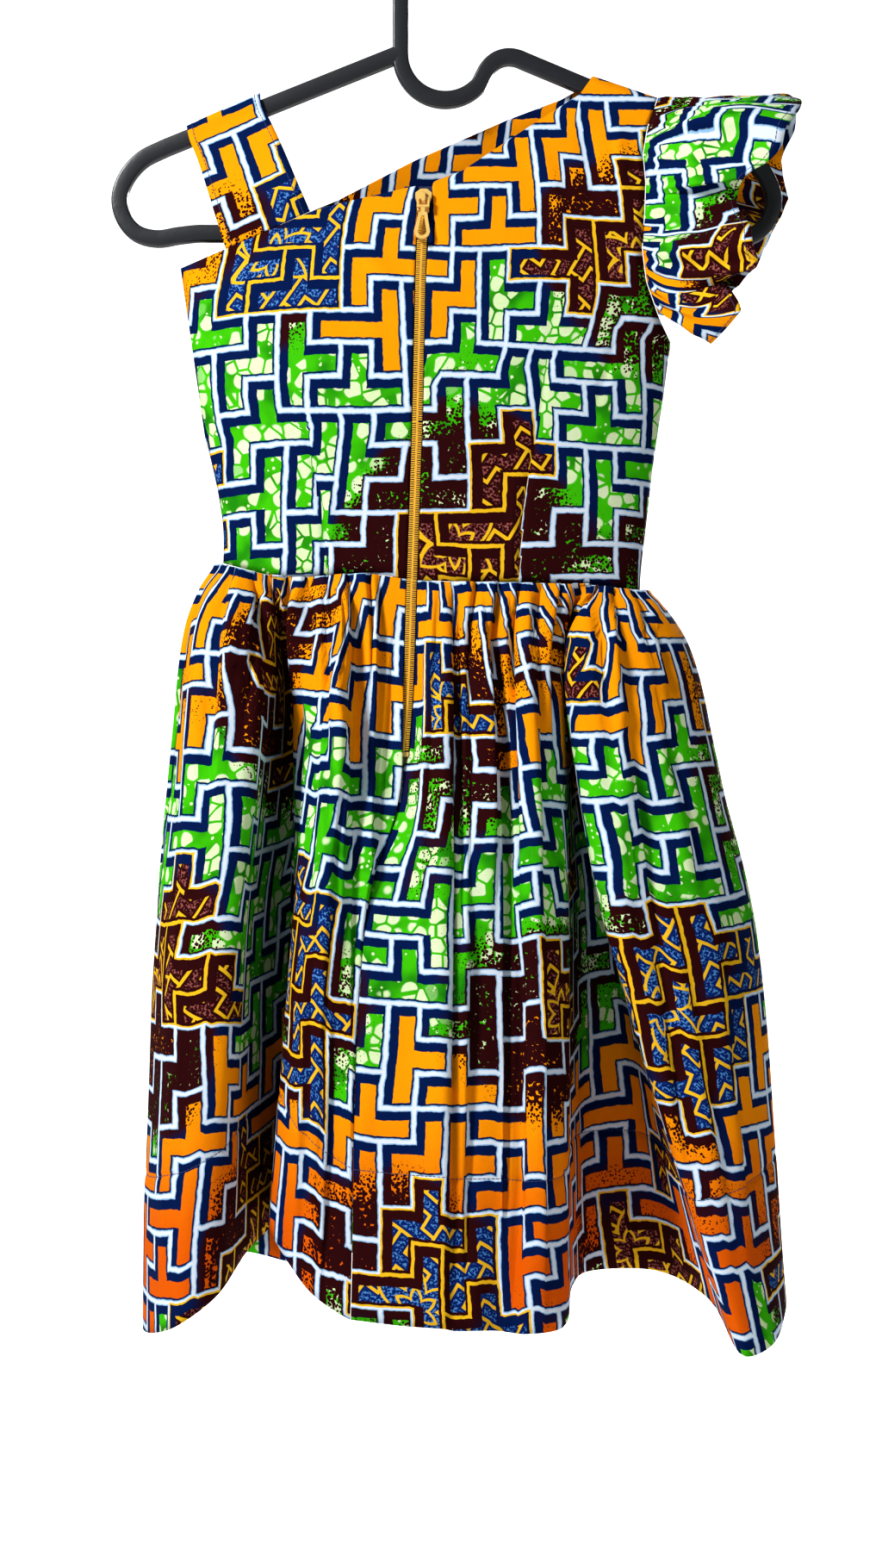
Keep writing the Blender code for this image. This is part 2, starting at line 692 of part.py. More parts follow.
def skirt_runs(row, share):
    """One ring of the skirt as three runs: back left, back right and front."""
    ring = skirt_ring(row, share)
    names = [name for name, _ in ring]
    points = [point for _, point in ring]
    zip_column = names.index(LAST_OF_LEFT)
    side_column = names.index("right side")
    count = len(points)
    strength = gather_strength(share)
    wall = CLOTH + (GATHERED_WALL - CLOTH) * strength
    pairs = []
    for index, point in enumerate(points):
        before = points[index - 1] if index != zip_column + 1 else point
        after = points[(index + 1) % count] if index != zip_column else point
        tangent = after - before
        tangent.z = 0.0
        outward = Vector((tangent.y, -tangent.x, 0.0)).normalized()
        from_zip = min(abs(index - zip_column), abs(index - zip_column - 1))
        flat = min(max((from_zip - FLAT_BY_ZIP) / 2, 0.0), 1.0)
        wave = (1 - math.cos(2 * math.pi * index / COLUMNS_PER_GATHER)) / 2
        moved = point + outward * GATHER_DEPTH * wave * strength * flat
        placed = place(*moved)
        if row == 0:
            placed.z = place(point.x, point.y, waist_height(point.x)).z - WAIST_DROP
        pairs.append((placed, placed - wall * outward))
    closing = [*pairs[side_column:], pairs[0]]
    shift = Vector((0.0, SEAM_GAP / 2, 0.0))
    front = [tuple(point + shift for point in pair) for pair in closing]
    back_left = [tuple(point - shift for point in pairs[0])] + pairs[1:zip_column + 1]
    back_right = pairs[zip_column + 1:side_column]
    back_right = back_right + [tuple(point - shift for point in pairs[side_column])]
    return back_left, back_right, front


def skirt_grids():
    rows = [skirt_runs(row, share) for row, share in enumerate(ROW_SHARES)]
    return tuple([runs[part] for runs in rows] for part in range(3))


def zip_rows(back_left, skirt_left, skirt_right):
    """Places down the zip's middle line from its top: x, y of the cloth's outside, z, y behind the cloth."""
    rows = []
    for number in range(len(back_left) - 1, -1, -1):
        outer = back_left[number][-1][0]
        behind = deepest(back_left[number][-2:])
        rows.append((outer.x + ZIP_OPENING, outer.y, outer.z, behind))
    for number in range(1, ZIP_END_ROW + 1):
        outer = skirt_right[number][0][0]
        behind = deepest(skirt_left[number][-TAPE_COLUMNS:] + skirt_right[number][:TAPE_COLUMNS])
        rows.append((outer.x - ZIP_OPENING, outer.y, outer.z, behind))
    return rows


def deepest(pairs):
    return max(inner.y for _, inner in pairs)


def strip(name, rows, left, right, front, back, finish, behind=False):
    """A bar down the zip: x from left to right of the middle line, y from front to back."""
    mesh = bmesh.new()
    rings = []
    for x, outside, z, inside in rows:
        y = inside if behind else outside
        corners = ((left, front), (right, front), (right, back), (left, back))
        rings.append([mesh.verts.new(Vector((x + aside, y + deep, z)) * MM) for aside, deep in corners])
    for high, low in zip(rings, rings[1:]):
        for side in range(4):
            after = (side + 1) % 4
            mesh.faces.new((high[side], high[after], low[after], low[side]))
    mesh.faces.new(rings[0])
    mesh.faces.new(rings[-1])
    return finish_mesh(name, mesh, finish, smooth=30.0)


def cut_rows(rows, top, bottom):
    """The part of the zip's rows between two heights."""
    heights = [-row[2] for row in rows]

    def at(height):
        found = []
        for column in (0, 1, 3):
            pairs = [(-row[2], row[column]) for row in rows]
            found.append(linear(pairs, -height))
        return found[0], found[1], height, found[2]

    inside = [row for row in rows if bottom < row[2] < top]
    start = at(top) if -top > heights[0] else rows[0]
    return [start, *inside, at(bottom)]


def linear(pairs, at):
    for (low, start), (high, end) in zip(pairs, pairs[1:]):
        if at <= high:
            return start + (end - start) * (at - low) / (high - low)
    return pairs[-1][1]


def build_zip(rows, gold, navy):
    slider_foot = rows[0][2] - SLIDER_BELOW_NECK - SLIDER_LENGTH
    end = rows[-1][2]
    tape_back = TAPE_CLEARANCE + TAPE_THICKNESS
    middle_gap = SEAM_GAP / 2
    tape_rows = cut_rows(rows, rows[0][2], end)
    strip("zip_tape_left", tape_rows, -TAPE_WIDTH, -middle_gap, TAPE_CLEARANCE, tape_back, navy, behind=True)
    strip("zip_tape_right", tape_rows, middle_gap, TAPE_WIDTH, TAPE_CLEARANCE, tape_back, navy, behind=True)
    half = CHAIN_WIDTH / 2
    chain_rows = cut_rows(rows, slider_foot - SEAM_GAP, end + STOP_LENGTH + SEAM_GAP)
    strip("zip_chain", chain_rows, -half, half, -CHAIN_PROUD, CLOTH, gold)
    stop_rows = cut_rows(rows, end + STOP_LENGTH, end + STOP_FROM_END)
    strip("zip_stop", stop_rows, -half, half, -CHAIN_PROUD, CLOTH, gold)
    slider_rows = cut_rows(rows, slider_foot + SLIDER_LENGTH, slider_foot)
    top = Vector(slider_rows[0][:3])
    foot = Vector(slider_rows[-1][:3])
    build_slider(top, foot, gold)
    below = Vector(cut_rows(rows, slider_foot - PULL_HANGS_FROM, end)[0][:3])
    build_pull(top, foot, below, gold)


def build_slider(top, foot, gold):
    """The slider's body, wide at its top, with the crown that carries the pull."""
    along_zip = (foot - top).normalized()
    outward = Vector((0.0, -1.0, 0.0))
    outward = (outward - along_zip * outward.dot(along_zip)).normalized()
    across = Vector((1.0, 0.0, 0.0))
    half = SLIDER_WIDTH / 2
    narrow = half - SLIDER_TAPER / 2
    outline = (
        (-narrow * SLIDER_TOP_SHARE, 0.0),
        (narrow * SLIDER_TOP_SHARE, 0.0),
        (half, SLIDER_WIDEST[0]),
        (half, SLIDER_WIDEST[1]),
        (narrow, SLIDER_NARROW_FROM),
        (narrow, SLIDER_LENGTH),
        (-narrow, SLIDER_LENGTH),
        (-narrow, SLIDER_NARROW_FROM),
        (-half, SLIDER_WIDEST[1]),
        (-half, SLIDER_WIDEST[0]),
    )
    body = plate("zip_slider", outline, top, across, along_zip, outward, SLIDER_SEAT, SLIDER_PROUD, gold)
    start = top + outward * SLIDER_PROUD
    arch = [start + along_zip * reach + outward * height for reach, height in crown_path()]
    join(body, [sweep("crown", arch, across, CROWN_WIDTH, CROWN_WIRE, gold)])


def crown_path():
    """The crown's arch: distance down the slider and height over it, both feet sunk in the body."""
    points = []
    for step in range(CROWN_STEPS + 1):
        angle = math.pi * step / CROWN_STEPS
        reach = CROWN_LENGTH / 2 * (1 - math.cos(angle))
        points.append((CROWN_START + reach, CROWN_HEIGHT * math.sin(angle) - CROWN_SINK))
    return points


def build_pull(top, foot, below, gold):
    """The pull tab, hung from the crown and lying along the chain."""
    along_zip = (foot - top).normalized()
    outward = Vector((0.0, -1.0, 0.0))
    outward = (outward - along_zip * outward.dot(along_zip)).normalized()
    hinge = pull_hinge(top, along_zip, outward)
    hang = (below - foot).normalized()
    front = (Vector((0.0, -1.0, 0.0)) - hang * -hang.y).normalized()
    across = Vector((1.0, 0.0, 0.0))
    half_eye = PULL_EYE_WIDTH / 2
    reach = PULL_EYE_LENGTH - PULL_EYE_WIRE
    eye = [(-half_eye, 0.0), (half_eye, 0.0), (half_eye, reach), (-half_eye, reach)]
    drop_top = PULL_EYE_LENGTH + PULL_NECK_LENGTH - PULL_TUCK
    body = ring("zip_pull", eye, hinge, across, hang, front, PULL_EYE_WIRE, gold)
    neck_half = PULL_NECK_WIDTH / 2
    low = reach - PULL_EYE_WIRE / 4
    high = drop_top + PULL_OVERLAP
    neck_outline = ((-neck_half, low), (neck_half, low), (neck_half, high), (-neck_half, high))
    half_neck = PULL_NECK_THICKNESS / 2
    neck = plate("neck", neck_outline, hinge, across, hang, front, -half_neck, half_neck, gold)
    drop = ring("drop", teardrop(drop_top), hinge, across, hang, front, PULL_DROP_WIRE, gold)
    join(body, [neck, drop])
    set_origin(body, hinge)


def pull_hinge(top, along_zip, outward):
    """The middle of the pull's top wire, inside the crown's arch."""
    return top + along_zip * (CROWN_START + CROWN_LENGTH * 0.6) + outward * (SLIDER_PROUD + PULL_SEAT)


def teardrop(start):
    """The pull's outline: a point at its top and a round foot."""
    half = (PULL_DROP_WIDTH - PULL_DROP_WIRE) / 2
    centre = start + PULL_DROP_LENGTH - PULL_DROP_WIDTH / 2
    points = [(-PULL_DROP_TOP, start), (PULL_DROP_TOP, start)]
    for step in range(11):
        angle = math.radians(-20 + 220 * step / 10)
        points.append((half * math.cos(angle), centre + half * math.sin(angle)))
    return points


def plate(name, outline, origin, across, down, out, back, front, finish):
    """A flat plate: an outline in across and down, from back to front along out."""
    mesh = bmesh.new()
    layers = []
    for height in (back, front):
        layer = [mesh.verts.new((origin + across * x + down * y + out * height) * MM) for x, y in outline]
        layers.append(layer)
    mesh.faces.new(layers[0])
    mesh.faces.new(layers[1])
    count = len(outline)
    for index in range(count):
        after = (index + 1) % count
        mesh.faces.new((layers[0][index], layers[0][after], layers[1][after], layers[1][index]))
    return finish_mesh(name, mesh, finish, smooth=30.0)


def ring(name, outline, origin, across, down, out, wire, finish):
    """A closed wire of square section round an outline."""
    count = len(outline)
    half = wire / 2
    deep = min(half, PULL_THICKNESS / 2)
    mesh = bmesh.new()
    loops = []
    for index in range(count):
        here = Vector(outline[index])
        into = (here - Vector(outline[index - 1])).normalized()
        leave = (Vector(outline[(index + 1) % count]) - here).normalized()
        normal = Vector((into.y + leave.y, -into.x - leave.x)).normalized()
        miter = half / max(normal.dot(Vector((into.y, -into.x))), 0.5)
        loop = []
        for side, height in ((1, deep), (-1, deep), (-1, -deep), (1, -deep)):
            x, y = here + normal * miter * side
            loop.append(mesh.verts.new((origin + across * x + down * y + out * height) * MM))
        loops.append(loop)
    for index in range(count):
        here, after = loops[index], loops[(index + 1) % count]
        for side in range(4):
            turn = (side + 1) % 4
            mesh.faces.new((here[side], here[turn], after[turn], after[side]))
    return finish_mesh(name, mesh, finish, smooth=30.0)


def sweep(name, points, across, width, height, finish):
    """A flat wire along a path, width across and height over the path."""
    mesh = bmesh.new()
    rings = []
    for index, point in enumerate(points):
        before = points[max(index - 1, 0)]
        after = points[min(index + 1, len(points) - 1)]
        up = across.cross(after - before).normalized()
        corners = ((-1, -1), (1, -1), (1, 1), (-1, 1))
        places = [point + across * width / 2 * a + up * height / 2 * b for a, b in corners]
        rings.append([mesh.verts.new(corner * MM) for corner in places])
    for first, second in zip(rings, rings[1:]):
        for side in range(4):
            turn = (side + 1) % 4
            mesh.faces.new((first[side], first[turn], second[turn], second[side]))
    mesh.faces.new(rings[0])
    mesh.faces.new(rings[-1])
    return finish_mesh(name, mesh, finish, smooth=30.0)


def join(body, tools):
    """Unite the tools with a body through Boolean modifiers."""
    for tool in tools:
        cut = body.modifiers.new("Join", "BOOLEAN")
        cut.operation = "UNION"
        cut.object = tool
        tool.hide_render = True
        tool.display_type = "WIRE"


def set_origin(obj, point):
    """Put an object's origin on a point, in millimetres, without moving its mesh."""
    move = point * MM
    for vertex in obj.data.vertices:
        vertex.co -= move
    obj.location = move


def bar(name, path, finish):
    """A flat bevelled bar of the hanger along a path of x and z."""
    half_height = BAR_HEIGHT / 2
    half_depth = BAR_DEPTH / 2
    outline = (
        (half_height, half_depth - BAR_BEVEL),
        (half_height - BAR_BEVEL, half_depth),
        (BAR_BEVEL - half_height, half_depth),
        (-half_height, half_depth - BAR_BEVEL),
        (-half_height, BAR_BEVEL - half_depth),
        (BAR_BEVEL - half_height, -half_depth),
        (half_height - BAR_BEVEL, -half_depth),
        (half_height, BAR_BEVEL - half_depth),
    )
    mesh = bmesh.new()
    rings = []
    for index, point in enumerate(path):
        here = Vector(point)
        into = here - Vector(path[max(index - 1, 0)])
        leave = Vector(path[min(index + 1, len(path) - 1)]) - here
        direction = (into.normalized() + leave.normalized()).normalized()
        upward = Vector((-direction.y, direction.x))
        places = [(here + upward * high, deep) for high, deep in outline]
        rings.append([mesh.verts.new(Vector((flat.x, deep, flat.y)) * MM) for flat, deep in places])
    for first, second in zip(rings, rings[1:]):
        for side in range(8):
            turn = (side + 1) % 8
            mesh.faces.new((first[side], first[turn], second[turn], second[side]))
    mesh.faces.new(rings[0])
    mesh.faces.new(rings[-1])
    return finish_mesh(name, mesh, finish, smooth=30.0)


def arc(centre, radius, start, end, steps):
    """Points on a circle from one angle to another, in degrees."""
    found = []
    for step in range(steps + 1):
        angle = math.radians(start + (end - start) * step / steps)
        found.append((centre[0] + radius * math.cos(angle), centre[1] + radius * math.sin(angle)))
    return found


def smooth_path(points, steps):
    """A smooth curve through points, with a few steps between each pair."""
    places = [Vector(point) for point in points]
    found = []
    for index in range(len(places) - 1):
        quad = [places[max(0, min(len(places) - 1, index + step))] for step in (-1, 0, 1, 2)]
        quad[0] = quad[0] if index else places[0] * 2 - places[1]
        quad[3] = quad[3] if index < len(places) - 2 else places[-1] * 2 - places[-2]
        found += [spline_point(*quad, step / steps) for step in range(steps)]
    return [tuple(point) for point in [*found, places[-1]]]


def mirrored(path):
    return [(2 * HANGER_MIDDLE - x, z) for x, z in path]


def build_hanger(black):
    """Hook, dip, arms, end loops and lower bar; the real hanger is one moulding."""
    rod = (0.0, -ROD_SPACE)
    hook = [(-BEND, NECK_FOOT + SEAM_GAP), *arc(rod, BEND, 180, 0, 14), (BEND, -ROD_SPACE - HOOK_TIP_DROP)]
    bar("hanger_hook", hook, black)
    dip_arc = arc((0.0, NECK_FOOT - 1.0), BEND, 180, 318, 12)
    hump = ((26.4, -98.8), (32.4, -93.6), (39.0, -91.8), (45.0, -92.6), (50.0, -94.63))
    bar("hanger_dip", [(-BEND, NECK_FOOT), *dip_arc, *hump], black)
    bar("hanger_arm_left", [(-35.4, -92.4), (-161.6, -143.2)], black)
    bar("hanger_arm_right", [(50.4, -94.8), (163.2, -142.0)], black)
    loop = (
        (-162.0, -143.36),
        (-165.5, -144.8),
        (-177.0, -149.6),
        (-189.7, -156.3),
        (-199.4, -167.6),
        (-203.5, -180.6),
        (-200.5, -193.5),
        (-192.4, -202.2),
        (-180.0, -205.4),
        (-166.5, -203.4),
        (-154.5, LOWER_BAR_Z),
        (-150.6, LOWER_BAR_Z),
    )
    bar("hanger_end_left", smooth_path(loop, 2), black)
    right_loop = [(-162.0, -142.17), (-165.5, -143.6), (-177.2, -148.9), *loop[3:]]
    bar("hanger_end_right", mirrored(smooth_path(right_loop, 2)), black)
    lower = [(-150.0, LOWER_BAR_Z), (150.0 + 2 * HANGER_MIDDLE, LOWER_BAR_Z)]
    bar("hanger_lower_bar", lower, black)


def main():
    clear_scene()
    orange = material("printed cotton, orange", PRINT_ORANGE, 0.85)
    green = material("printed cotton, green", PRINT_GREEN, 0.85)
    gold = material("gilt zip", ZIP_GOLD, 0.35, 1.0)
    navy = material("zip tape", TAPE_NAVY, 0.9)
    black = material("hanger plastic", HANGER_BLACK, 0.42)
    back_left, back_right, front = bodice_grids()
    solid_from_grid("back_bodice_left", back_left, green)
    solid_from_grid("back_bodice_right", back_right, green)
    solid_from_grid("front_bodice", front, green)
    solid_from_grid("shoulder_strap", strap_grid(), orange)
    solid_from_grid("sleeve_ruffle", ruffle_grid(back_right, front), orange)
    skirt_left, skirt_right, skirt_front = skirt_grids()
    solid_from_grid("skirt_back_left", skirt_left, orange)
    solid_from_grid("skirt_back_right", skirt_right, orange)
    solid_from_grid("skirt_front", skirt_front, orange)
    build_zip(zip_rows(back_left, skirt_left, skirt_right), gold, navy)
    build_hanger(black)


main()
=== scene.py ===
"""Looks for a child's one-shoulder printed cotton dress on its hanger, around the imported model.

Tables are in millimetres, with x and z as they are seen from the eye point, and MM turns them into metres.
"""

import functools
import json
import math
import random

import bmesh
import bpy
from mathutils import Vector
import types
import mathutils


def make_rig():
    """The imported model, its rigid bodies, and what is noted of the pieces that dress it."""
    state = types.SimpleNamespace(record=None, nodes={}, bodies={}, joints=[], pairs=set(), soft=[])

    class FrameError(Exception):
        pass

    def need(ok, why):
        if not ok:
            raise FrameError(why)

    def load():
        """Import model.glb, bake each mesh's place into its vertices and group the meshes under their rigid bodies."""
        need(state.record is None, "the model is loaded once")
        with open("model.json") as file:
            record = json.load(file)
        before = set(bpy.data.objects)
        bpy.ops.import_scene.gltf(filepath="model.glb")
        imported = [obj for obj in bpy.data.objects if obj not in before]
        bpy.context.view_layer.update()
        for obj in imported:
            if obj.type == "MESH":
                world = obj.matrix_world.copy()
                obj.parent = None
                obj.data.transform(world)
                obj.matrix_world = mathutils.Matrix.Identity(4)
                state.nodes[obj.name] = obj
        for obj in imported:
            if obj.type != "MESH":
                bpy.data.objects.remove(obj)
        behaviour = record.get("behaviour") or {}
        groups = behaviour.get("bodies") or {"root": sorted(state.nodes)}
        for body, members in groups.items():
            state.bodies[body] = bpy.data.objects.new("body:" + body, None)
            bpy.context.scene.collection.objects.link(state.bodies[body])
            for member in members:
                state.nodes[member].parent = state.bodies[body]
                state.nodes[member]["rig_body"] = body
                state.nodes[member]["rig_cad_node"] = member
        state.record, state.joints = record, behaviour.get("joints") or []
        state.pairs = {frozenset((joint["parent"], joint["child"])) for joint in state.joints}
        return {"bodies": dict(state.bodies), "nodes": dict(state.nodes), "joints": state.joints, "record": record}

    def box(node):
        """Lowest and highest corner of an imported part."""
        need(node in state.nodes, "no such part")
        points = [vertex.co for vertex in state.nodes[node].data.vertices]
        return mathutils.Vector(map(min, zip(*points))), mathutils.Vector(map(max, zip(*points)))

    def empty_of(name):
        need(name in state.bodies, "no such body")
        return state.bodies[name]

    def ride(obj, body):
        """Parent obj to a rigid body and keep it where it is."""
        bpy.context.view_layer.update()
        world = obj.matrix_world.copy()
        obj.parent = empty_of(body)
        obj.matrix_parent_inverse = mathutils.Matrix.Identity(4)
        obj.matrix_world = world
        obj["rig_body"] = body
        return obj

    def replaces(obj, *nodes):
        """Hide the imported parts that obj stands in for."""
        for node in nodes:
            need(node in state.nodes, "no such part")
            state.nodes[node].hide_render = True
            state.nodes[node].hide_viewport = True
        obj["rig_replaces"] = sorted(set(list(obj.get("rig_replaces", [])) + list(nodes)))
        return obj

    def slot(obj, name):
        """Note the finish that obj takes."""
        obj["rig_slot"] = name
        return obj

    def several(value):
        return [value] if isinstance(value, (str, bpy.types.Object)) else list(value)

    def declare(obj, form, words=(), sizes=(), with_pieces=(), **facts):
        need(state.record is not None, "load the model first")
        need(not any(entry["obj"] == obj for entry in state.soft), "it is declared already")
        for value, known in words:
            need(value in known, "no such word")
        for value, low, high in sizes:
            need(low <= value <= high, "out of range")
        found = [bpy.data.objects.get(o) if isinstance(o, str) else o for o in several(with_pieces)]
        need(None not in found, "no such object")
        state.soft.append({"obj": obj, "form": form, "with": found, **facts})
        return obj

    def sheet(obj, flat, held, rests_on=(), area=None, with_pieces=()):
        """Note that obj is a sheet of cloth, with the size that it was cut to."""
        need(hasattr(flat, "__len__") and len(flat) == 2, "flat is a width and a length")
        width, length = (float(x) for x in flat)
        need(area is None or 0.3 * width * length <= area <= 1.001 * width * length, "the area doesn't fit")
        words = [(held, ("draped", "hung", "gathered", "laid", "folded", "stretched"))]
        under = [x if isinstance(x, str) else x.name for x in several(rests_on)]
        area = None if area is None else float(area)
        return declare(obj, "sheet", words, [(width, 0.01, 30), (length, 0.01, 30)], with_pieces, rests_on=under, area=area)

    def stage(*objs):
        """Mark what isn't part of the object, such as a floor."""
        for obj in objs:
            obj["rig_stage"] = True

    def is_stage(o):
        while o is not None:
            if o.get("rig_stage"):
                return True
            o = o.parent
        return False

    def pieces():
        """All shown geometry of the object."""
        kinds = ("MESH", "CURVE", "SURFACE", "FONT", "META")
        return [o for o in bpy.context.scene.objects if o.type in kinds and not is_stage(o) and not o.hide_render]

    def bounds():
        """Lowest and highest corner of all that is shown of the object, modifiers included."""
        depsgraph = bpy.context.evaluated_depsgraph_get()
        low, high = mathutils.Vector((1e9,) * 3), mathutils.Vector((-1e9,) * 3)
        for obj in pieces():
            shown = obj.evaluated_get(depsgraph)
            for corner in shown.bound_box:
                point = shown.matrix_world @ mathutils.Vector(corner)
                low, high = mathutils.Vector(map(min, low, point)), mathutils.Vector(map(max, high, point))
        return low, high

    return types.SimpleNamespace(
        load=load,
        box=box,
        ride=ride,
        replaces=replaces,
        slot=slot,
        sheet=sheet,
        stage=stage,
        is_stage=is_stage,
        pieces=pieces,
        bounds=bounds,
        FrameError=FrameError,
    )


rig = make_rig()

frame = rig.load()
cad_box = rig.bounds()

MM = 0.001
BODY = "dress"
random.seed(41)

# The point that the tables are seen from
EYE_X = -2.7
EYE_Z = -546.0
EYE_DISTANCE = 1100.0

# Cloth
SHELL = 0.8
SEAM_GAP = 0.3
SLEEVE_GAP = 0.45
BODY_ROUNDNESS = 2.3
SHOULDER_TURN = 5.0

# Creases, by shares along each: how far one runs past its ends, and where it rises and falls
CREASE_PAST = 0.3
CREASE_RISE = (-0.15, 0.2)
CREASE_FALL = (1.2, 0.7)

# Bodice sections: z, left side, right side, half depth
SECTIONS = (
    (-98, -180, 190, 8),
    (-126, -177, 184, 11),
    (-153, -174, 178, 16.5),
    (-190, -170, 170, 25),
    (-224, -165.5, 158, 32),
    (-247, -164.4, 149, 35),
    (-271, -163, 141.2, 36.5),
    (-306, -157.4, 136, 36.5),
    (-346, -146, 130, 34),
    (-384, -139.1, 125.6, 31.5),
    (-416, -139, 122, 31),
    (-440, -139, 121.5, 31),
)

# Sewing thread
STITCH_PITCH = 2.7
STITCH_LENGTH = 2.2
THREAD_WIDTH = 0.42
THREAD_HEIGHT = 0.32

# One stitch: shares of its length, and how high it stands there in heights of the thread
STITCH_SHAPE = ((0.0, -0.25), (0.25, 0.8), (0.75, 0.8), (1.0, -0.25))

# Zip: z, x of its middle line
ZIP_LINE = (
    (-165, -12.6),
    (-228, -15.6),
    (-325, -17.8),
    (-422, -21),
    (-489, -23.2),
    (-531.5, -26.4),
    (-540, -27),
)
ZIP_OPENING = 3.6
ZIP_WAIST_Z = -419.0
SKIRT_LENGTH = 467.0

# Edges of the bodice, as x and z pairs
WAIST = ((-139, -408), (-102, -416.5), (-50, -414.5), (-15, -418.5), (80, -421), (121.8, -424.7))
WAIST_STEPS = 24
LEFT_SIDE_TOP = (-165.5, -223.7)
STRAP_SEAM = ((-137.4, -211.6), (-84.6, -188.4))
NECK_POINT = (92.3, -103.4)
SHOULDER_POINT = (132.6, -117)
BACK_LEFT_TOP = (
    LEFT_SIDE_TOP,
    *STRAP_SEAM,
    (-63.1, -182.2),
    (-41.5, -177.3),
    (-25.3, -173.6),
    (-17, -171.8),
)
BACK_RIGHT_TOP = (
    (-8, -169.6),
    (10.2, -162.8),
    (34, -147.1),
    (60.9, -129.4),
    (84.1, -114.8),
    (88.6, -108.4),
    (91.2, -104.9),
    NECK_POINT,
    SHOULDER_POINT,
)
FRONT_TOP = (
    LEFT_SIDE_TOP,
    *STRAP_SEAM,
    (-66.8, -181.1),
    (-19.9, -156.8),
    (39.3, -130.9),
    (72.2, -118.6),
    (84, -112),
    (88.8, -107.2),
    (91.2, -104.5),
    NECK_POINT,
    SHOULDER_POINT,
)
ARMHOLE = (
    (141.2, -271),
    (133.7, -255),
    (125.5, -232),
    (122.9, -211.8),
    (124.5, -187),
    (125.1, -170.3),
    (123.4, -152.5),
    (126.1, -135.8),
    SHOULDER_POINT,
)

# Strap rows from its seam on the back up to the fold: left x, left z, right x, right z, y
STRAP_ROWS = (
    (-143.5, -192, -92.5, -170, -17.5),
    (-149.6, -172, -100.5, -151, -12),
    (-155.5, -154, -109, -132.5, -7.8),
    (-160, -143, -114, -123, -6.3),
    (-161.6, -135.6, -115.8, -116.6, -5),
)
STRAP_FOLD = (-161.8, -134.4, -116, -113.8, 0)

# The strap's right edge stands further out in the rows deeper than this, by this share
STRAP_FLARE_FROM = 7
STRAP_FLARE = 0.35

# Skirt: shares of its length at which the fold tables stand
PUFF = 0.08
HIP = 0.205
KNEE = 0.49
ZIP_END = 0.24
ZIP_CLOSED = 0.255
HEM_STITCH = 0.797

# How the rows draw together at the bodice's top and at the skirt's waist, and their step at the hem
ROWS_TO_TOP = 1.6
ROWS_TO_WAIST = 1.35
HEM_ROW_STEP = 0.003

# The hem: how deep its stitches pull the cloth in, and how far the second layer lifts it
STITCH_DENT = 0.7
STITCH_SPREAD = 0.004
HEM_LIFT = 0.35
HEM_LIFT_SPAN = 0.01

# The skirt beside the zip, by shares of its length: how far its middle follows the zip, how far its
# edges stand right and left of it, and how far the left edge is lifted over it
FOLLOW_ZIP = ((0, 1), (ZIP_CLOSED, 1), (0.38, 0), (1, 0))
RIGHT_OF_ZIP = ((0, ZIP_OPENING), (ZIP_END, ZIP_OPENING), (ZIP_CLOSED, SEAM_GAP / 2), (1, SEAM_GAP / 2))
LEFT_OF_ZIP = ((0, ZIP_OPENING), (0.14, ZIP_OPENING), (ZIP_END, 0.5), (ZIP_CLOSED, 0.15), (1, 0.15))
OVER_ZIP = ((0, 0), (0.07, 0), (0.14, 3.2), (ZIP_CLOSED, 3.2), (0.38, 0), (1, 0))

# Fold lines of the skirt's back, left to right: columns to the next line,
# then x and y at the puff, hip, knee and hem, and the hem's z
BACK_FOLDS = (
    ("left side", 4, -156, 0, -165, 0, -180.5, 0, -188.7, 0, -886),
    ("side bulge", 3, -139, -38, -144, -48, -157.5, -54, -168, -56, -885),
    ("sharp edge", 3, -120, -42, -119, -54, -132, -56, -145, -52, -868),
    ("valley wall", 4, -110, -27, -107, -15, -117, -8, -124, -6, -838),
    ("deep valley", 7, -98, -14, -93, 22, -94, 36, -104, 38, -818),
    ("inner edge", 6, -80, -40, -85, -38, -92.5, -38, -109, -36, -826),
    ("soft ridge", 6, -61, -42, -64, -56, -74, -60, -86, -56, -862),
    ("flat left", 7, -43, -41, -46, -51, -60, -58, -70, -62, -875),
    ("centre back", 3, -22.2, -40, -24, -48, -51.2, -56, -59.4, -64, -881),
    ("strip left", 3, -8, -43, -9, -53, -20, -63, -26, -68, -885),
    ("strip edge", 1, 1, -44, 1.1, -56, -0.5, -67, 0, -70, -887),
    ("strip back", 4, 3.6, -39, 4, -49, 3, -63, 5, -69, -888),
    ("flat right", 4, 15, -41, 15, -53, 16, -64, 18, -70, -888),
    ("groove", 6, 28.5, -38, 32, -44, 37.7, -53, 34, -62, -888),
    ("ridge", 6, 48.5, -42, 51, -57, 53, -66, 50, -71, -890),
    ("right edge", 2, 66, -41, 66.3, -51, 71.7, -58, 73, -60, -886),
    ("wall front", 2, 71.5, -25, 73, -14, 76, -12, 79, -14, -860),
    ("valley left", 2, 75, -10, 78.5, 18, 88, 34, 93, 38, -850),
    ("valley right", 2, 79.5, -12, 84, 18, 100, 34, 131, 38, -850),
    ("wall back", 2, 81.5, -28, 85, -18, 106, -12, 165, -8, -868),
    ("panel edge", 3, 86, -40, 87.5, -52, 110, -62, 188, -70, -904),
    ("second edge", 3, 108, -42, 120, -52, 140, -62, 203, -61, -898),
    ("right bulge", 3, 134, -31, 150, -38, 180, -44, 211.5, -30, -880),
    ("right side", 10, 146, 0, 163.5, 0, 194.6, 0, 211, 0, -863),
)
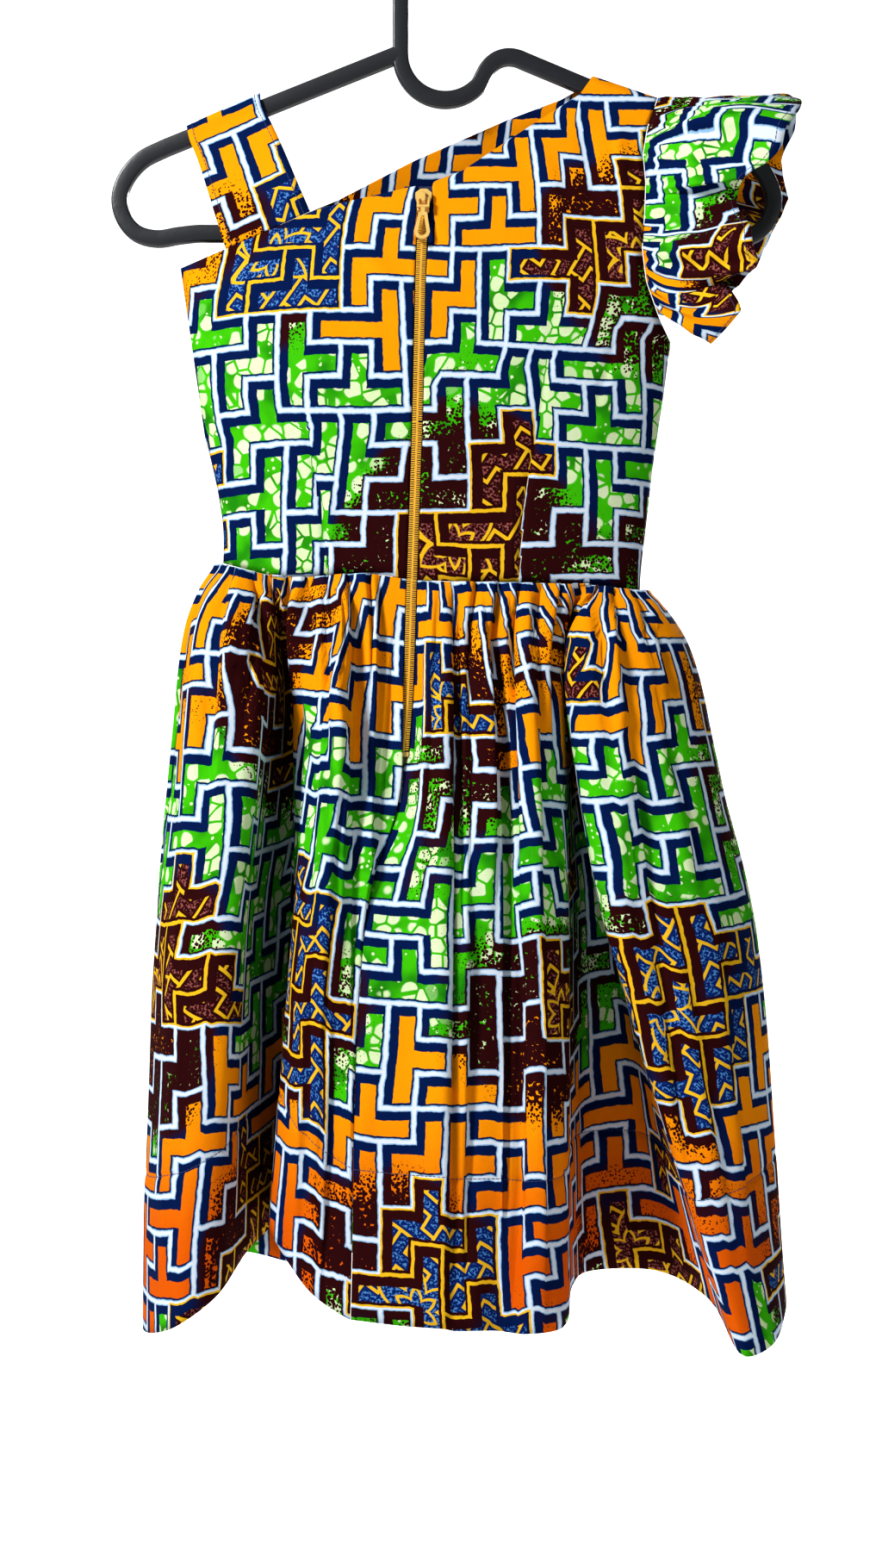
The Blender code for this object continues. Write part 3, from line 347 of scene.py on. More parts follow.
FRONT_FOLDS = (
    ("right ridge", 7, 108, 40, 124, 60, 146, 78, 160, 90, -838),
    ("right shoulder", 8, 78, 42, 92, 64, 108, 84, 116, 96, -834),
    ("first valley", 9, 50, 35, 56, 48, 60, 58, 62, 62, -846),
    ("middle ridge", 8, 22, 40, 24, 58, 26, 76, 28, 86, -838),
    ("second valley", 9, -6, 35, -8, 48, -9, 56, -10, 60, -846),
    ("left ridge", 8, -36, 40, -42, 60, -48, 78, -52, 90, -838),
    ("third valley", 9, -62, 34, -72, 50, -80, 60, -86, 66, -846),
    ("outer ridge", 10, -96, 40, -108, 62, -120, 82, -130, 94, -838),
    ("outer slope", 10, -130, 27, -144, 42, -158, 52, -168, 58, -850),
)
COLUMNS_PER_GATHER = 4
GATHER_DEPTH = 8.0
FLAT_BY_ZIP = 6
ZIP_EASE = 2
WAIST_ROUNDNESS = 0.3
WAIST_ROWS = 0.004
CREASES_FROM = 0.03
SKIRT_CREASES = 2.6
FOLD_STEEP = 0.22
BODICE_CREASES = 1.3

# Ruffled cap sleeve: share round the armhole, then x, y, z of its middle and of its outer edge
RUFFLE_ROWS = (
    (0.15, 148, -42, -262, 166, -46, -272),
    (0.20, 152, -50, -252, 184, -68, -250),
    (0.26, 147, -38, -240, 176, -44, -229),
    (0.32, 151, -45, -227, 194, -68, -223.5),
    (0.40, 152, -42, -206, 192, -64, -200),
    (0.48, 152, -30, -190, 182, -38, -181),
    (0.58, 154, -34, -172, 188, -54, -166),
    (0.68, 158, -42, -157, 202, -62, -155),
    (0.76, 164, -36, -139, 212, -56, -143),
    (0.84, 168, -27, -123, 221, -40, -126),
    (0.92, 168, -14, -116.5, 222, -20, -115.5),
    (1.00, 166, 0, -117, 209, 0, -113.5),
    (1.08, 168, 14, -116, 218, 22, -116.5),
    (1.18, 166, 30, -127, 219, 46, -135),
    (1.30, 160, 32, -146, 210, 34, -157),
    (1.42, 160, 42, -168, 214, 60, -180),
    (1.55, 154, 36, -192, 204, 40, -202),
    (1.68, 150, 42, -214, 194, 62, -222),
    (1.80, 147, 38, -236, 178, 42, -240),
    (1.85, 148, 36, -256, 166, 42, -268),
)

# Creases pressed into the cloth, as seen: x and z of both ends, half width, height out of the cloth
BACK_CREASES = (
    (-74.5, -413, -77.2, -374, 1.3, -1.6),
    (-77.2, -374, -86.8, -326, 1.5, -1.2),
    (-86.8, -326, -103, -292, 2.6, -0.7),
    (-70, -412, -73, -360, 3, 0.9),
    (45.5, -417, 47.4, -377, 1.3, -1.6),
    (47.4, -377, 57.7, -322, 1.5, -1.2),
    (57.7, -322, 70.6, -236, 2.8, -0.7),
    (41.5, -414, 43.5, -356, 3, 0.9),
    (112.6, -244, 105.7, -272, 4, -1.3),
    (105.7, -272, 98.1, -297, 3.4, -1.1),
    (98.1, -297, 92.7, -314, 2.6, -0.6),
    (-150, -240, -112, -262, 6, 1.3),
    (-152, -262, -118, -276, 5, -1.1),
    (-146, -300, -108, -306, 6, 0.9),
    (-60, -200, -30, -240, 7, 1.2),
    (-96, -214, -58, -262, 8, -1),
    (-6, -196, 26, -226, 6, 1.1),
    (4, -250, 40, -262, 7, -0.9),
    (60, -150, 74, -208, 7, 1.2),
    (88, -136, 94, -196, 6, -1.2),
    (108, -134, 112, -178, 4, 1.2),
    (28, -330, -4, -352, 7, 0.9),
    (-10, -380, 24, -396, 6, -0.8),
    (-52, -352, -28, -372, 6, 0.9),
    (-128, -346, -100, -398, 5, -1),
    (76, -350, 116, -372, 6, 1),
    (84, -396, 116, -404, 5, -0.9),
)
FRONT_CREASES = (
    (-60, -413, -64, -340, 1.4, -1.5),
    (-64, -340, -72, -290, 2.4, -0.8),
    (34, -418, 38, -344, 1.4, -1.5),
    (38, -344, 48, -284, 2.4, -0.8),
    (-140, -246, -104, -270, 6, 1.2),
    (-30, -190, 6, -236, 7, 1.1),
    (40, -160, 60, -214, 7, -1.1),
    (96, -150, 104, -214, 5, 1.2),
    (-20, -300, 22, -316, 7, 0.9),
    (70, -330, 112, -348, 6, -1),
    (-130, -340, -98, -380, 6, 1),
    (-20, -372, 14, -390, 6, -0.9),
)
SKIRT_BACK_CREASES = (
    (-127, -424, -140, -560, 3.2, 2.2),
    (-118, -424, -129, -520, 2.4, -1.8),
    (-146, -470, -168, -700, 7, 2),
    (-88, -424, -80, -520, 2.6, 2.4),
    (-76, -424, -70, -600, 3, -2),
    (-66, -424, -60, -560, 3, 2.2),
    (-55, -430, -58, -680, 4, -1.8),
    (-42, -430, -48, -640, 4, 1.8),
    (-34, -470, -52, -720, 3, -1.5),
    (-82, -640, -92, -820, 6, 1.8),
    (-70, -700, -76, -850, 5, -1.6),
    (-6, -424, -14, -640, 4, 1.6),
    (8, -430, 10, -640, 2.6, -2.2),
    (22, -430, 26, -620, 3, 2),
    (40, -430, 46, -600, 2.6, -2.2),
    (56, -430, 60, -640, 3.2, 2),
    (18, -620, 12, -860, 5, -1.8),
    (44, -640, 42, -870, 5, -2.2),
    (62, -640, 62, -860, 4, 1.8),
    (94, -430, 104, -560, 3, -2.4),
    (104, -430, 124, -600, 3.6, 2.4),
    (120, -436, 146, -560, 3, -2.2),
    (128, -440, 160, -640, 5, 2),
    (120, -560, 150, -780, 6, -2.2),
    (138, -600, 176, -830, 7, 2),
    (-158, -640, -176, -860, 8, 1.8),
    (1, -424, 0, -880, 7, 2.2),
    (31, -480, 38, -860, 7, 2.4),
    (-60, -420, -66, -640, 7, 2.2),
    (-38, -560, -50, -800, 7, 2),
    (53, -430, 60, -640, 6, 1.8),
    (103, -424, 117, -640, 7, 2.4),
    (-140, -424, -154, -600, 6, 2),
    (168, -620, 190, -850, 8, 2),
)
SKIRT_FRONT_CREASES = (
    (-128, -424, -146, -620, 5, 2),
    (-96, -424, -112, -560, 4, -1.8),
    (-70, -424, -84, -640, 4, 2),
    (-44, -430, -50, -560, 3.5, -1.8),
    (-18, -430, -24, -640, 4.5, 2),
    (10, -430, 10, -540, 3.5, -1.8),
    (32, -430, 36, -640, 4.5, 2),
    (62, -430, 72, -560, 4, -1.8),
    (88, -430, 108, -640, 5, 2),
    (116, -440, 146, -600, 5, -1.8),
    (-120, -640, -134, -820, 7, 1.8),
    (-30, -620, -36, -830, 7, -1.8),
    (50, -620, 58, -830, 7, 1.8),
    (130, -640, 150, -820, 7, -1.6),
)

# Waist darts, as x and z from the waist up, and the width that each takes in at the waist
LEFT_DART = ((-74.5, -413), (-77.2, -374), (-86.8, -326), (-103, -285))
RIGHT_DART = ((45.5, -417), (47.4, -377), (57.7, -322), (70.6, -236))
FRONT_DARTS = (((-60, -413), (-64, -340), (-72, -290)), ((34, -418), (38, -344), (48, -284)))
DART_INTAKE = 11.0
DART_BELOW = 20.0

# Where the print of the strap and of the ruffle starts, in metres
STRAP_U = -0.12
STRAP_V = -0.19
RUFFLE_U = 0.6
RUFFLE_V = 0.05

# Print, in metres: the size of one square of the fret, its chart and how far each row of the chart moves on
PRINT_UNIT = 0.0200
FRET = "ABBBCDEEAABDCCCEADDDEC"
FRET_SHIFT = 8
FINE_UNIT = 0.0098
BAND_REPEAT = 0.35
GREEN_BAND = (0.465, 0.99)
BODICE_PRINT_TOP = 0.10
SKIRT_PRINT_TOP = -0.035
SLEEVE_PRINT_TOP = -0.075
MEDALLION_START = 0.03
MEDALLION_SPACING = 0.235
MEDALLION_REACH = 0.050
STAR_POINTS = 12
WEAVE_PITCH = 0.00045
WEAVE_DEPTH = 0.00006
CRUMPLE_DEPTH = 0.0011

# The print's noise and cells to a metre
DRIFT_WAVES = 9.0
WOBBLE_WAVES = 160.0
LARGE_BUBBLES = 104.0
SMALL_BUBBLES = 300.0
MOTTLE_WAVES = 34.0
SHADE_WAVES = 6.5
STIPPLE_CELLS = 560.0
FLECK_WAVES = 620.0
SPECK_WAVES = 900.0
CRUMPLE_SCALE = 75.0

# How far the print drifts, in metres, and how far its lines wobble, in squares
DRIFT_U = 0.012
DRIFT_V = 0.010
WOBBLE = 0.10

# How far the colour bands scatter from piece to piece, and where the skirt's orange grows deeper
SCATTER_WAVES = 0.31
SCATTER = 0.07
DEEPER_ORANGE = (-0.30, -0.42)

# Bubbles, as the two levels of each step: the wall between two, their size, and which cells have one
BUBBLE_WALL = (0.05, 0.085)
BUBBLE_SIZE = (0.62, 0.52)
BUBBLE_LOT = (0.24, 0.28)
SMALL_BUBBLE_SIZE = (0.34, 0.26)
SMALL_BUBBLE_LOT = (0.68, 0.70)
MOTTLE_STEP = (0.45, 0.70)

# The stippled shade: the noise's level and strength, and what the medallions and the band's end add
SHADE_LEVEL = 0.535
SHADE_STRENGTH = 3.4
SHADE_ROUND_MEDALLION = (0.100, 0.045)
SHADE_BY_KIND = (1.05, 0.6)
SHADE_AT_BAND_END = (0.74, 0.97)
BAND_END_STRENGTH = 0.35
STIPPLE_FULL = 0.85
SHADE_TO_MAROON = (0.25, 0.5)

# Inside a medallion: the turn of its fine fret, its lines, its star in metres, and its flecks
MEDALLION_ROW = 0.30
NET_COSINE = 0.83
NET_SINE = 0.56
NET_LINE = (0.125, 0.085)
STAR_INSIDE = 0.013
STAR_POINT = 0.014
STAR_RING = 0.52
STAR_LINE = (0.0017, 0.0011)
FLECK_STEP = (0.50, 0.58)
FLECK_OFF_NET = (0.20, 0.36)
BLUE_FLECKS = 0.75
PINK_FLECKS = 0.60
KIND_STEP = (0.4, 0.6)

# The finish of the cloth, and how far a plain material varies
SPECKS = 0.14
CLOTH_ROUGHNESS = 0.78
CLOTH_GLOSS = 0.03
CLOTH_BUMP = 0.55
PLAIN_WAVES = 90.0
PLAIN_DARKER = 0.72
PLAIN_ROUGHNESS = (0.85, 1.2)
PLAIN_BUMP = 0.6

# How the fret's chart is packed into colours, and a distance further than any line
WAY_SPAN = 8
WAY_MIDDLE = 4
NO_LINE = 9.0

# Colours, linear red, green and blue
ORANGE = (0.98, 0.35, 0.002)
ORANGE_DEEP = (0.74, 0.125, 0.002)
GREEN = (0.062, 0.53, 0.004)
GREEN_DEEP = (0.018, 0.24, 0.006)
BUBBLE = (0.80, 0.88, 0.66)
BUBBLE_DEEP = (0.62, 0.82, 0.36)
WHITE_LINE = (0.74, 0.81, 0.90)
PALE_BLUE = (0.30, 0.52, 0.78)
NAVY = (0.001, 0.014, 0.082)
MAROON = (0.036, 0.004, 0.005)
SPECKLE = (0.012, 0.006, 0.008)
YELLOW = (0.88, 0.52, 0.02)
BLUE_GROUND = (0.003, 0.022, 0.15)
PINK_FLECK = (0.50, 0.16, 0.14)
BLUE_FLECK = (0.12, 0.34, 0.72)
ZIP_GOLD = (1.0, 0.66, 0.20)
COIL_GOLD = (1.0, 0.56, 0.05)
TAPE_NAVY = (0.01, 0.025, 0.10)
HANGER_BLACK = (0.024, 0.026, 0.031)
THREAD = (0.05, 0.06, 0.16)

# The fret's lines, in squares from their middle: where a line ends and where it is full,
# in the plain print and in a medallion
SHADE_SHIFT = 0.105
SHADE_WIDTH = (0.266, 0.244)
FRET_LINES = (
    (PALE_BLUE, (0.102, 0.080), (0.066, 0.048)),
    (WHITE_LINE, (0.066, 0.049), (0.060, 0.044)),
)


def smooth_read(rows, at, column):
    """Read a column of a table, sorted downwards by its first column, on a smooth curve."""
    keys = [row[0] for row in rows]
    values = [row[column] for row in rows]
    if at >= keys[0]:
        return values[0]
    if at <= keys[-1]:
        return values[-1]
    low = next(index for index in range(len(keys) - 1) if at >= keys[index + 1])
    return hermite(keys, values, low, at)


def hermite(keys, values, low, at):
    """A cubic through the values between keys low and low + 1."""
    span = keys[low + 1] - keys[low]
    share = (at - keys[low]) / span

    def slope(index):
        before = max(index - 1, 0)
        after = min(index + 1, len(keys) - 1)
        return (values[after] - values[before]) / (keys[after] - keys[before])

    square = share * share
    cube = square * share
    start = (2 * cube - 3 * square + 1) * values[low]
    leave = (cube - 2 * square + share) * span * slope(low)
    end = (3 * square - 2 * cube) * values[low + 1]
    arrive = (cube - square) * span * slope(low + 1)
    return start + leave + end + arrive


def curve_value(keys, values, at):
    """Read a smooth curve between keys in rising order."""
    low = max(index for index in range(len(keys) - 1) if at >= keys[index])
    return hermite(keys, values, low, at)


def straight_value(pairs, at):
    """Read between pairs of key and value by straight lines."""
    for (low, start), (high, end) in zip(pairs, pairs[1:]):
        if at <= high:
            return start + (end - start) * max(at - low, 0.0) / (high - low)
    return pairs[-1][1]


def along(points, share):
    """The point at a share of a polyline's length."""
    lengths = [(Vector(b) - Vector(a)).length for a, b in zip(points, points[1:])]
    left = share * sum(lengths)
    for index, length in enumerate(lengths):
        if left <= length or index == len(lengths) - 1:
            return Vector(points[index]).lerp(Vector(points[index + 1]), left / length)
        left -= length


def spline_point(before, start, end, after, share):
    """A point between start and end on a centripetal curve through four points."""
    knots = [0.0]
    for first, second in ((before, start), (start, end), (end, after)):
        knots.append(knots[-1] + max((second - first).length, 0.01) ** 0.5)
    at = knots[1] + share * (knots[2] - knots[1])

    def mix(a, b, low, high):
        return a.lerp(b, (at - low) / (high - low))

    first = mix(before, start, knots[0], knots[1])
    second = mix(start, end, knots[1], knots[2])
    third = mix(end, after, knots[2], knots[3])
    low = mix(first, second, knots[0], knots[2])
    high = mix(second, third, knots[1], knots[3])
    return mix(low, high, knots[1], knots[2])


def four_around(items, index):
    """The items from one before an index to two after it, with the ends repeated."""
    last = len(items) - 1
    return [items[max(0, min(last, index + step))] for step in (-1, 0, 1, 2)]


def lengths_along(line, scale=1.0):
    """The distance from a line's start to each of its points."""
    passed = [0.0]
    for first, second in zip(line, line[1:]):
        passed.append(passed[-1] + (second - first).length * scale)
    return passed


def lengths_down(grid):
    """For each row of a grid, how far down the cloth its points are, in metres."""
    rows = [[0.0] * len(grid[0])]
    for above, line in zip(grid, grid[1:]):
        rows.append([passed + (low - high).length * MM for passed, low, high in zip(rows[-1], line, above)])
    return rows


def place(x, y, z):
    """Put a point that is seen at x and z at its depth y."""
    scale = 1.0 + y / EYE_DISTANCE
    return Vector((EYE_X + (x - EYE_X) * scale, y, EYE_Z + (z - EYE_Z) * scale))


def seen(point):
    """The x and z at which a point is seen, the other way round from place."""
    scale = 1.0 + point.y / EYE_DISTANCE
    return EYE_X + (point.x - EYE_X) / scale, EYE_Z + (point.z - EYE_Z) / scale


def smoothstep(low, high, at):
    share = min(max((at - low) / (high - low), 0.0), 1.0)
    return share * share * (3 - 2 * share)


def relief(creases, x, z, steep=1.0):
    """How far the creases lift the cloth at a seen point; steep narrows the shaded side of each one."""
    total = 0.0
    for x0, z0, x1, z1, width, height in creases:
        run_x, run_z = x1 - x0, z1 - z0
        length = math.hypot(run_x, run_z)
        along_share = ((x - x0) * run_x + (z - z0) * run_z) / length**2
        if not -CREASE_PAST < along_share < 1 + CREASE_PAST:
            continue
        off = ((x - x0) * run_z - (z - z0) * run_x) / length
        shaded = off < 0 if height > 0 else off > 0
        reach = width * steep if shaded else width * (2.0 - steep)
        taper = smoothstep(*CREASE_RISE, along_share) * smoothstep(*CREASE_FALL, along_share)
        total += height * math.exp(-((off / reach) ** 2)) * taper
    return total


# Bodice


def section(z):
    left = smooth_read(SECTIONS, z, 1)
    right = smooth_read(SECTIONS, z, 2)
    return (left + right) / 2, (right - left) / 2, smooth_read(SECTIONS, z, 3)


def shoulder_line(x):
    slope = (SHOULDER_POINT[1] - NECK_POINT[1]) / (SHOULDER_POINT[0] - NECK_POINT[0])
    return NECK_POINT[1] + slope * max(x - NECK_POINT[0], 0.0)


def body_depth(x, z):
    """Half the bodice's depth at a seen point, closed at its sides and over the shoulder."""
    middle, half_width, half_depth = section(z)
    across = min(abs((x - middle) / half_width), 1.0)
    round_share = (1.0 - across**BODY_ROUNDNESS) ** (1.0 / BODY_ROUNDNESS)
    drop = min(max((shoulder_line(x) - z) / SHOULDER_TURN, 0.0), 1.0)
    roof = math.sqrt(1.0 - (1.0 - drop) ** 2)
    return SEAM_GAP / 2 + half_depth * round_share * roof


def angle_at(x, z):
    middle, half_width, _ = section(z)
    return math.asin(max(-1.0, min(1.0, (x - middle) / half_width)))


def x_at(angle, z):
    middle, half_width, _ = section(z)
    return middle + half_width * math.sin(angle)


def waist_height(x):
    rows = [(-px, pz) for px, pz in WAIST]
    return smooth_read(rows, -x, 1)


def waist_between(start, end):
    steps = [start + (end - start) * step / WAIST_STEPS for step in range(WAIST_STEPS + 1)]
    return tuple((x, waist_height(x)) for x in steps)


def zip_edge(offset, top):
    """The bodice's edge beside the zip, from the waist up."""
    rows = [row for row in reversed(ZIP_LINE) if row[0] > waist_height(row[1]) and row[0] < top[1]]
    foot_x = smooth_read(ZIP_LINE, ZIP_WAIST_Z, 1) + offset
    foot = (foot_x, waist_height(foot_x))
    return (foot, *((x + offset, z) for z, x in rows), top)


def panel(bottom, top, left, right, columns, rows, side, creases):
    """A bodice panel between four edges, as rows of points from the waist up."""

    def edge(points, share):
        x, z = along(points, share)
        return Vector((angle_at(x, z), z))

    corners = [edge(bottom, 0), edge(bottom, 1), edge(top, 0), edge(top, 1)]
    overs = [column / columns for column in range(columns + 1)]
    lows = [edge(bottom, over) for over in overs]
    highs = [edge(top, over) for over in overs]
    grid = []
    for row in range(rows + 1):
        up = 1.0 - (1.0 - row / rows) ** ROWS_TO_TOP
        left_point = edge(left, up)
        right_point = edge(right, up)
        line = []
        for over, low_point, high_point in zip(overs, lows, highs):
            ruled = low_point * (1 - up) + high_point * up
            crossed = left_point * (1 - over) + right_point * over
            low = corners[0] * (1 - over) + corners[1] * over
            high = corners[2] * (1 - over) + corners[3] * over
            angle, z = ruled + crossed - (low * (1 - up) + high * up)
            x = x_at(angle, z)
            depth = body_depth(x, z)
            fade = min(over, 1 - over, up * 2, (1 - up) * 2) * columns / 3
            depth += BODICE_CREASES * relief(creases, x, z) * min(fade, 1.0)
            line.append(place(x, side * depth, z))
        grid.append(line)
    return grid


def dart_shift(point, darts):
    """How far the print has moved at a point because of the darts on its left."""
    x, z = seen(point)
    shift = 0.0
    for places in darts:
        foot, top = places[0][1], places[-1][1]
        if foot - DART_BELOW < z < top:
            dart_x = straight_value([(pz, px) for px, pz in places], z)
            shift += DART_INTAKE * (top - z) / (top - foot) if x > dart_x else 0.0
    return shift


def bodice_uv(grid, side, darts):
    """Cloth coordinates of a bodice panel: metres across from the panel's middle, and down from the neck."""
    coordinates = []
    for line in grid:
        passed = lengths_along(line)
        zero = sum(point.x for point in line) / len(line)
        places = []
        for value, point in zip(passed, line):
            across = zero + value - passed[-1] / 2 + dart_shift(point, darts)
            places.append((across * MM * side, point.z * MM))
        coordinates.append(places)
    return coordinates


# Skirt


def fold_points(share):
    """The fold lines' places at a share of the skirt's length, with their columns."""
    total = sum(row[1] for row in BACK_FOLDS[:-1])
    front_total = BACK_FOLDS[-1][1] + sum(row[1] for row in FRONT_FOLDS)
    left, right = WAIST[0][0], WAIST[-1][0]
    points = []
    passed = 0
    for row in BACK_FOLDS:
        points.append(fold_point(row, share, left, right, passed / total, -1))
        passed += row[1]
    passed = BACK_FOLDS[-1][1]
    for row in FRONT_FOLDS:
        points.append(fold_point(row, share, right, left, passed / front_total, 1))
        passed += row[1]
    return points


def fold_point(row, share, start, end, around, side):
    """One fold line at a share of the length: x, y and z as seen, with y set by the waist at its top."""
    name = row[0]
    turned = 2 * around - 1
    turned = (1 - WAIST_ROUNDNESS) * turned + WAIST_ROUNDNESS * math.sin(math.pi / 2 * turned)
    waist_x = (start + end) / 2 + turned * (end - start) / 2
    if name == "centre back":
        waist_x = smooth_read(ZIP_LINE, ZIP_WAIST_Z, 1)
    waist_z = waist_height(waist_x)
    waist_y = side * body_depth(waist_x, waist_z)
    if name in ("left side", "right side"):
        waist_y = 0.0
    shares = (0.0, PUFF, HIP, KNEE, 1.0)
    x = curve_value(shares, (waist_x, *row[2:10:2]), share)
    y = curve_value(shares, (waist_y, *row[3:10:2]), share)
    z = waist_z + (row[10] - waist_z) * share
    return name, row[1], Vector((x, y, z))


def centre_back_edges(point, share):
    """The skirt's two edges at its centre back: beside the chain, then closed below it."""
    middle = point.copy()
    zip_x = smooth_read(ZIP_LINE, point.z, 1)
    middle.x += (zip_x - middle.x) * straight_value(FOLLOW_ZIP, share)
    gap = straight_value(RIGHT_OF_ZIP, share)
    cover = straight_value(OVER_ZIP, share)
    reach = straight_value(LEFT_OF_ZIP, share)
    left = middle - Vector((reach, cover, 0.0))
    right = middle + Vector((gap, 0.0, 0.0))
    return left, right


# Each gather: how strong it is, where its crest stands in it, and the share of the length where it ends
GATHERS = 60
GATHER_STRENGTH = (0.6, 1.25)
GATHER_PEAKS = (0.80, 0.74, 0.82, 0.30)
GATHER_ENDS = (0.2, 0.3, 0.5, 0.9)
GATHER_WAYS = [
    (random.uniform(*GATHER_STRENGTH), random.choice(GATHER_PEAKS), random.choice(GATHER_ENDS))
    for _ in range(GATHERS)
]

# A gather's fullness, its depth at the seam, the share in which it rises from there, and how it fades
GATHER_FULLNESS = 0.8
GATHER_AT_SEAM = 0.6
GATHER_RISE = 0.03
GATHER_FADE = 0.9


def gather_wave(column, share):
    """Depth of the gathers at a column and share, uneven from one to the next and steep on one side."""
    place_in = column / COLUMNS_PER_GATHER
    number = int(place_in) % GATHERS
    strength, peak, end = GATHER_WAYS[number]
    phase = place_in - int(place_in)
    warped = 0.5 * phase / peak if phase < peak else 0.5 + 0.5 * (phase - peak) / (1 - peak)
    wave = math.sin(math.pi * warped) ** GATHER_FULLNESS
    rise = GATHER_AT_SEAM + (1 - GATHER_AT_SEAM) * min(share / GATHER_RISE, 1.0)
    return strength * wave * rise * max(1.0 - share / end, 0.0) ** GATHER_FADE


def skirt_ring(share, fine):
    """One ring of the skirt: for each point its column, its place as seen and the fold that starts there."""
    folds = []
    for name, columns, point in fold_points(share):
        if name == "centre back":
            left, right = centre_back_edges(point, share)
            folds.append(("seam", 1, left))
            folds.append((name, columns, right))
        else:
            folds.append((name, columns, point))
    count = len(folds)
    ring = []
    column = 0
    for index, (name, columns, _) in enumerate(folds):
        quad = [folds[(index + step) % count][2] for step in (-1, 0, 1, 2)]
        if name == "seam":
            ring.append((column, quad[1], name))
            column += 1
            continue
        before = quad[0] if name != "centre back" else quad[1] * 2 - quad[2]
        after = quad[3]
        if folds[(index + 1) % count][0] == "seam":
            after = quad[2] * 2 - quad[1]
        steps = columns * fine
        for step in range(steps):
            point = spline_point(before, quad[1], quad[2], after, step / steps)
            ring.append((column + step / fine, point, name if step == 0 else ""))
        column += columns
    return ring


def skirt_grids(fine, rows):
    """The skirt's three panels as rows of points from the waist down, and the number of the hem's row."""
    panels = ([], [], [])
    shares = [(row / rows) ** ROWS_TO_WAIST for row in range(rows + 1)]
    shares = sorted([*shares, *(HEM_STITCH + HEM_ROW_STEP * step for step in (-2, -1, 0, 1, 2))])
    for share in shares:
        ring = skirt_ring(share, fine)
        count = len(ring)
        names = [item[2] for item in ring]
        seam = names.index("seam")
        side = names.index("right side")
        placed = []
        for index, (column, point, _) in enumerate(ring):
            before = ring[index - 1][1] if index != seam + 1 else point
            after = ring[(index + 1) % count][1] if index != seam else point
            tangent = after - before
            tangent.z = 0.0
            outward = Vector((tangent.y, -tangent.x, 0.0)).normalized()
            from_zip = min(abs(column - ring[seam][0]), abs(column - ring[seam + 1][0]))
            flat = min(max((from_zip - FLAT_BY_ZIP) / ZIP_EASE, 0.0), 1.0)
            creases = SKIRT_FRONT_CREASES if index > side else SKIRT_BACK_CREASES
            lift = GATHER_DEPTH * gather_wave(column, share) * flat
            ease = min(from_zip / ZIP_EASE, 1.0)
            crease = SKIRT_CREASES * relief(creases, point.x, point.z, FOLD_STEEP)
            lift += crease * ease * smoothstep(0.0, CREASES_FROM, share)
            lift -= STITCH_DENT * math.exp(-(((share - HEM_STITCH) / STITCH_SPREAD) ** 2)) * ease
            lift += HEM_LIFT * smoothstep(HEM_STITCH, HEM_STITCH + HEM_LIFT_SPAN, share) * ease
            moved = point + outward * lift
            result = place(*moved)
            if share < WAIST_ROWS:
                result.z = place(point.x, point.y, waist_height(point.x)).z - SEAM_GAP
            placed.append(result)
        shift = Vector((0.0, SEAM_GAP / 2, 0.0))
        front = [*placed[side:], placed[0]]
        panels[2].append([point + shift for point in front])
        panels[0].append([placed[0] - shift, *placed[1:seam + 1]])
        panels[1].append([*placed[seam + 1:side], placed[side] - shift])
    return panels, shares.index(HEM_STITCH)


# The row that gives the skirt's cut its width, and how far the print follows each row and each column
WIDTH_ROW = 0.8
PRINT_BY_ROW = 0.75
PRINT_BY_COLUMN = 0.6


def skirt_uv(grid, start):
    """Cloth coordinates of a skirt panel: metres across at the hem, and down from the waist."""

    def run(line):
        passed = lengths_along(line)
        return [value / passed[-1] for value in passed], passed[-1]

    hem_shares, hem_width = run(grid[int(len(grid) * WIDTH_ROW)])
    width = hem_width * MM
    coordinates = []
    for line, down in zip(grid, lengths_down(grid)):
        middle = sum(down) / len(down)
        shares, _ = run(line)
        places = []
        for hem, here, passed in zip(hem_shares, shares, down):
            across = start + width * ((1 - PRINT_BY_ROW) * hem + PRINT_BY_ROW * here)
            places.append((across, -(PRINT_BY_COLUMN * passed + (1 - PRINT_BY_COLUMN) * middle)))
        coordinates.append(places)
    return coordinates, start + width


# Strap and ruffle


def strap_grid(columns, steps):
    """The strap: up from the back's seam, over the hanger's arm and down to the front's seam."""
    seam_left, seam_right = STRAP_SEAM
    seam = (*seam_left, *seam_right, None)
    far_side = tuple((*row[:4], -row[4]) for row in reversed(STRAP_ROWS))
    rows = (seam, *STRAP_ROWS, STRAP_FOLD, *far_side, seam)
    stations = []
    for number, (left_x, left_z, right_x, right_z, depth) in enumerate(rows):
        side = -1 if number < len(rows) / 2 else 1
        line = []
        for column in range(columns + 1):
            over = column / columns
            x = left_x + (right_x - left_x) * over
            z = left_z + (right_z - left_z) * over
            if depth is None:
                y = side * body_depth(x, z)
                raised = SLEEVE_GAP
            else:
                y = depth * (1 + STRAP_FLARE * over * (abs(depth) > STRAP_FLARE_FROM))
                raised = 0.0
            line.append(place(x, y, z) + Vector((0.0, 0.0, raised)))
        stations.append(line)
    grid = []
    last = len(stations) - 1
    for index in range(last):
        for step in range(steps + (index == last - 1)):
            line = []
            for column in range(columns + 1):
                quad = [station[column] for station in four_around(stations, index)]
                line.append(spline_point(*quad, step / steps))
            grid.append(line)
    return grid


def strap_uv(grid):
    """Cloth coordinates of the strap: metres across from its left edge, and on from its back seam."""
    coordinates = []
    for line, down in zip(grid, lengths_down(grid)):
        width = (line[-1] - line[0]).length * MM
        last = len(line) - 1
        along_u = [STRAP_U + width * column / last for column in range(last + 1)]
        coordinates.append([(at, STRAP_V + down[0]) for at in along_u])
    return coordinates


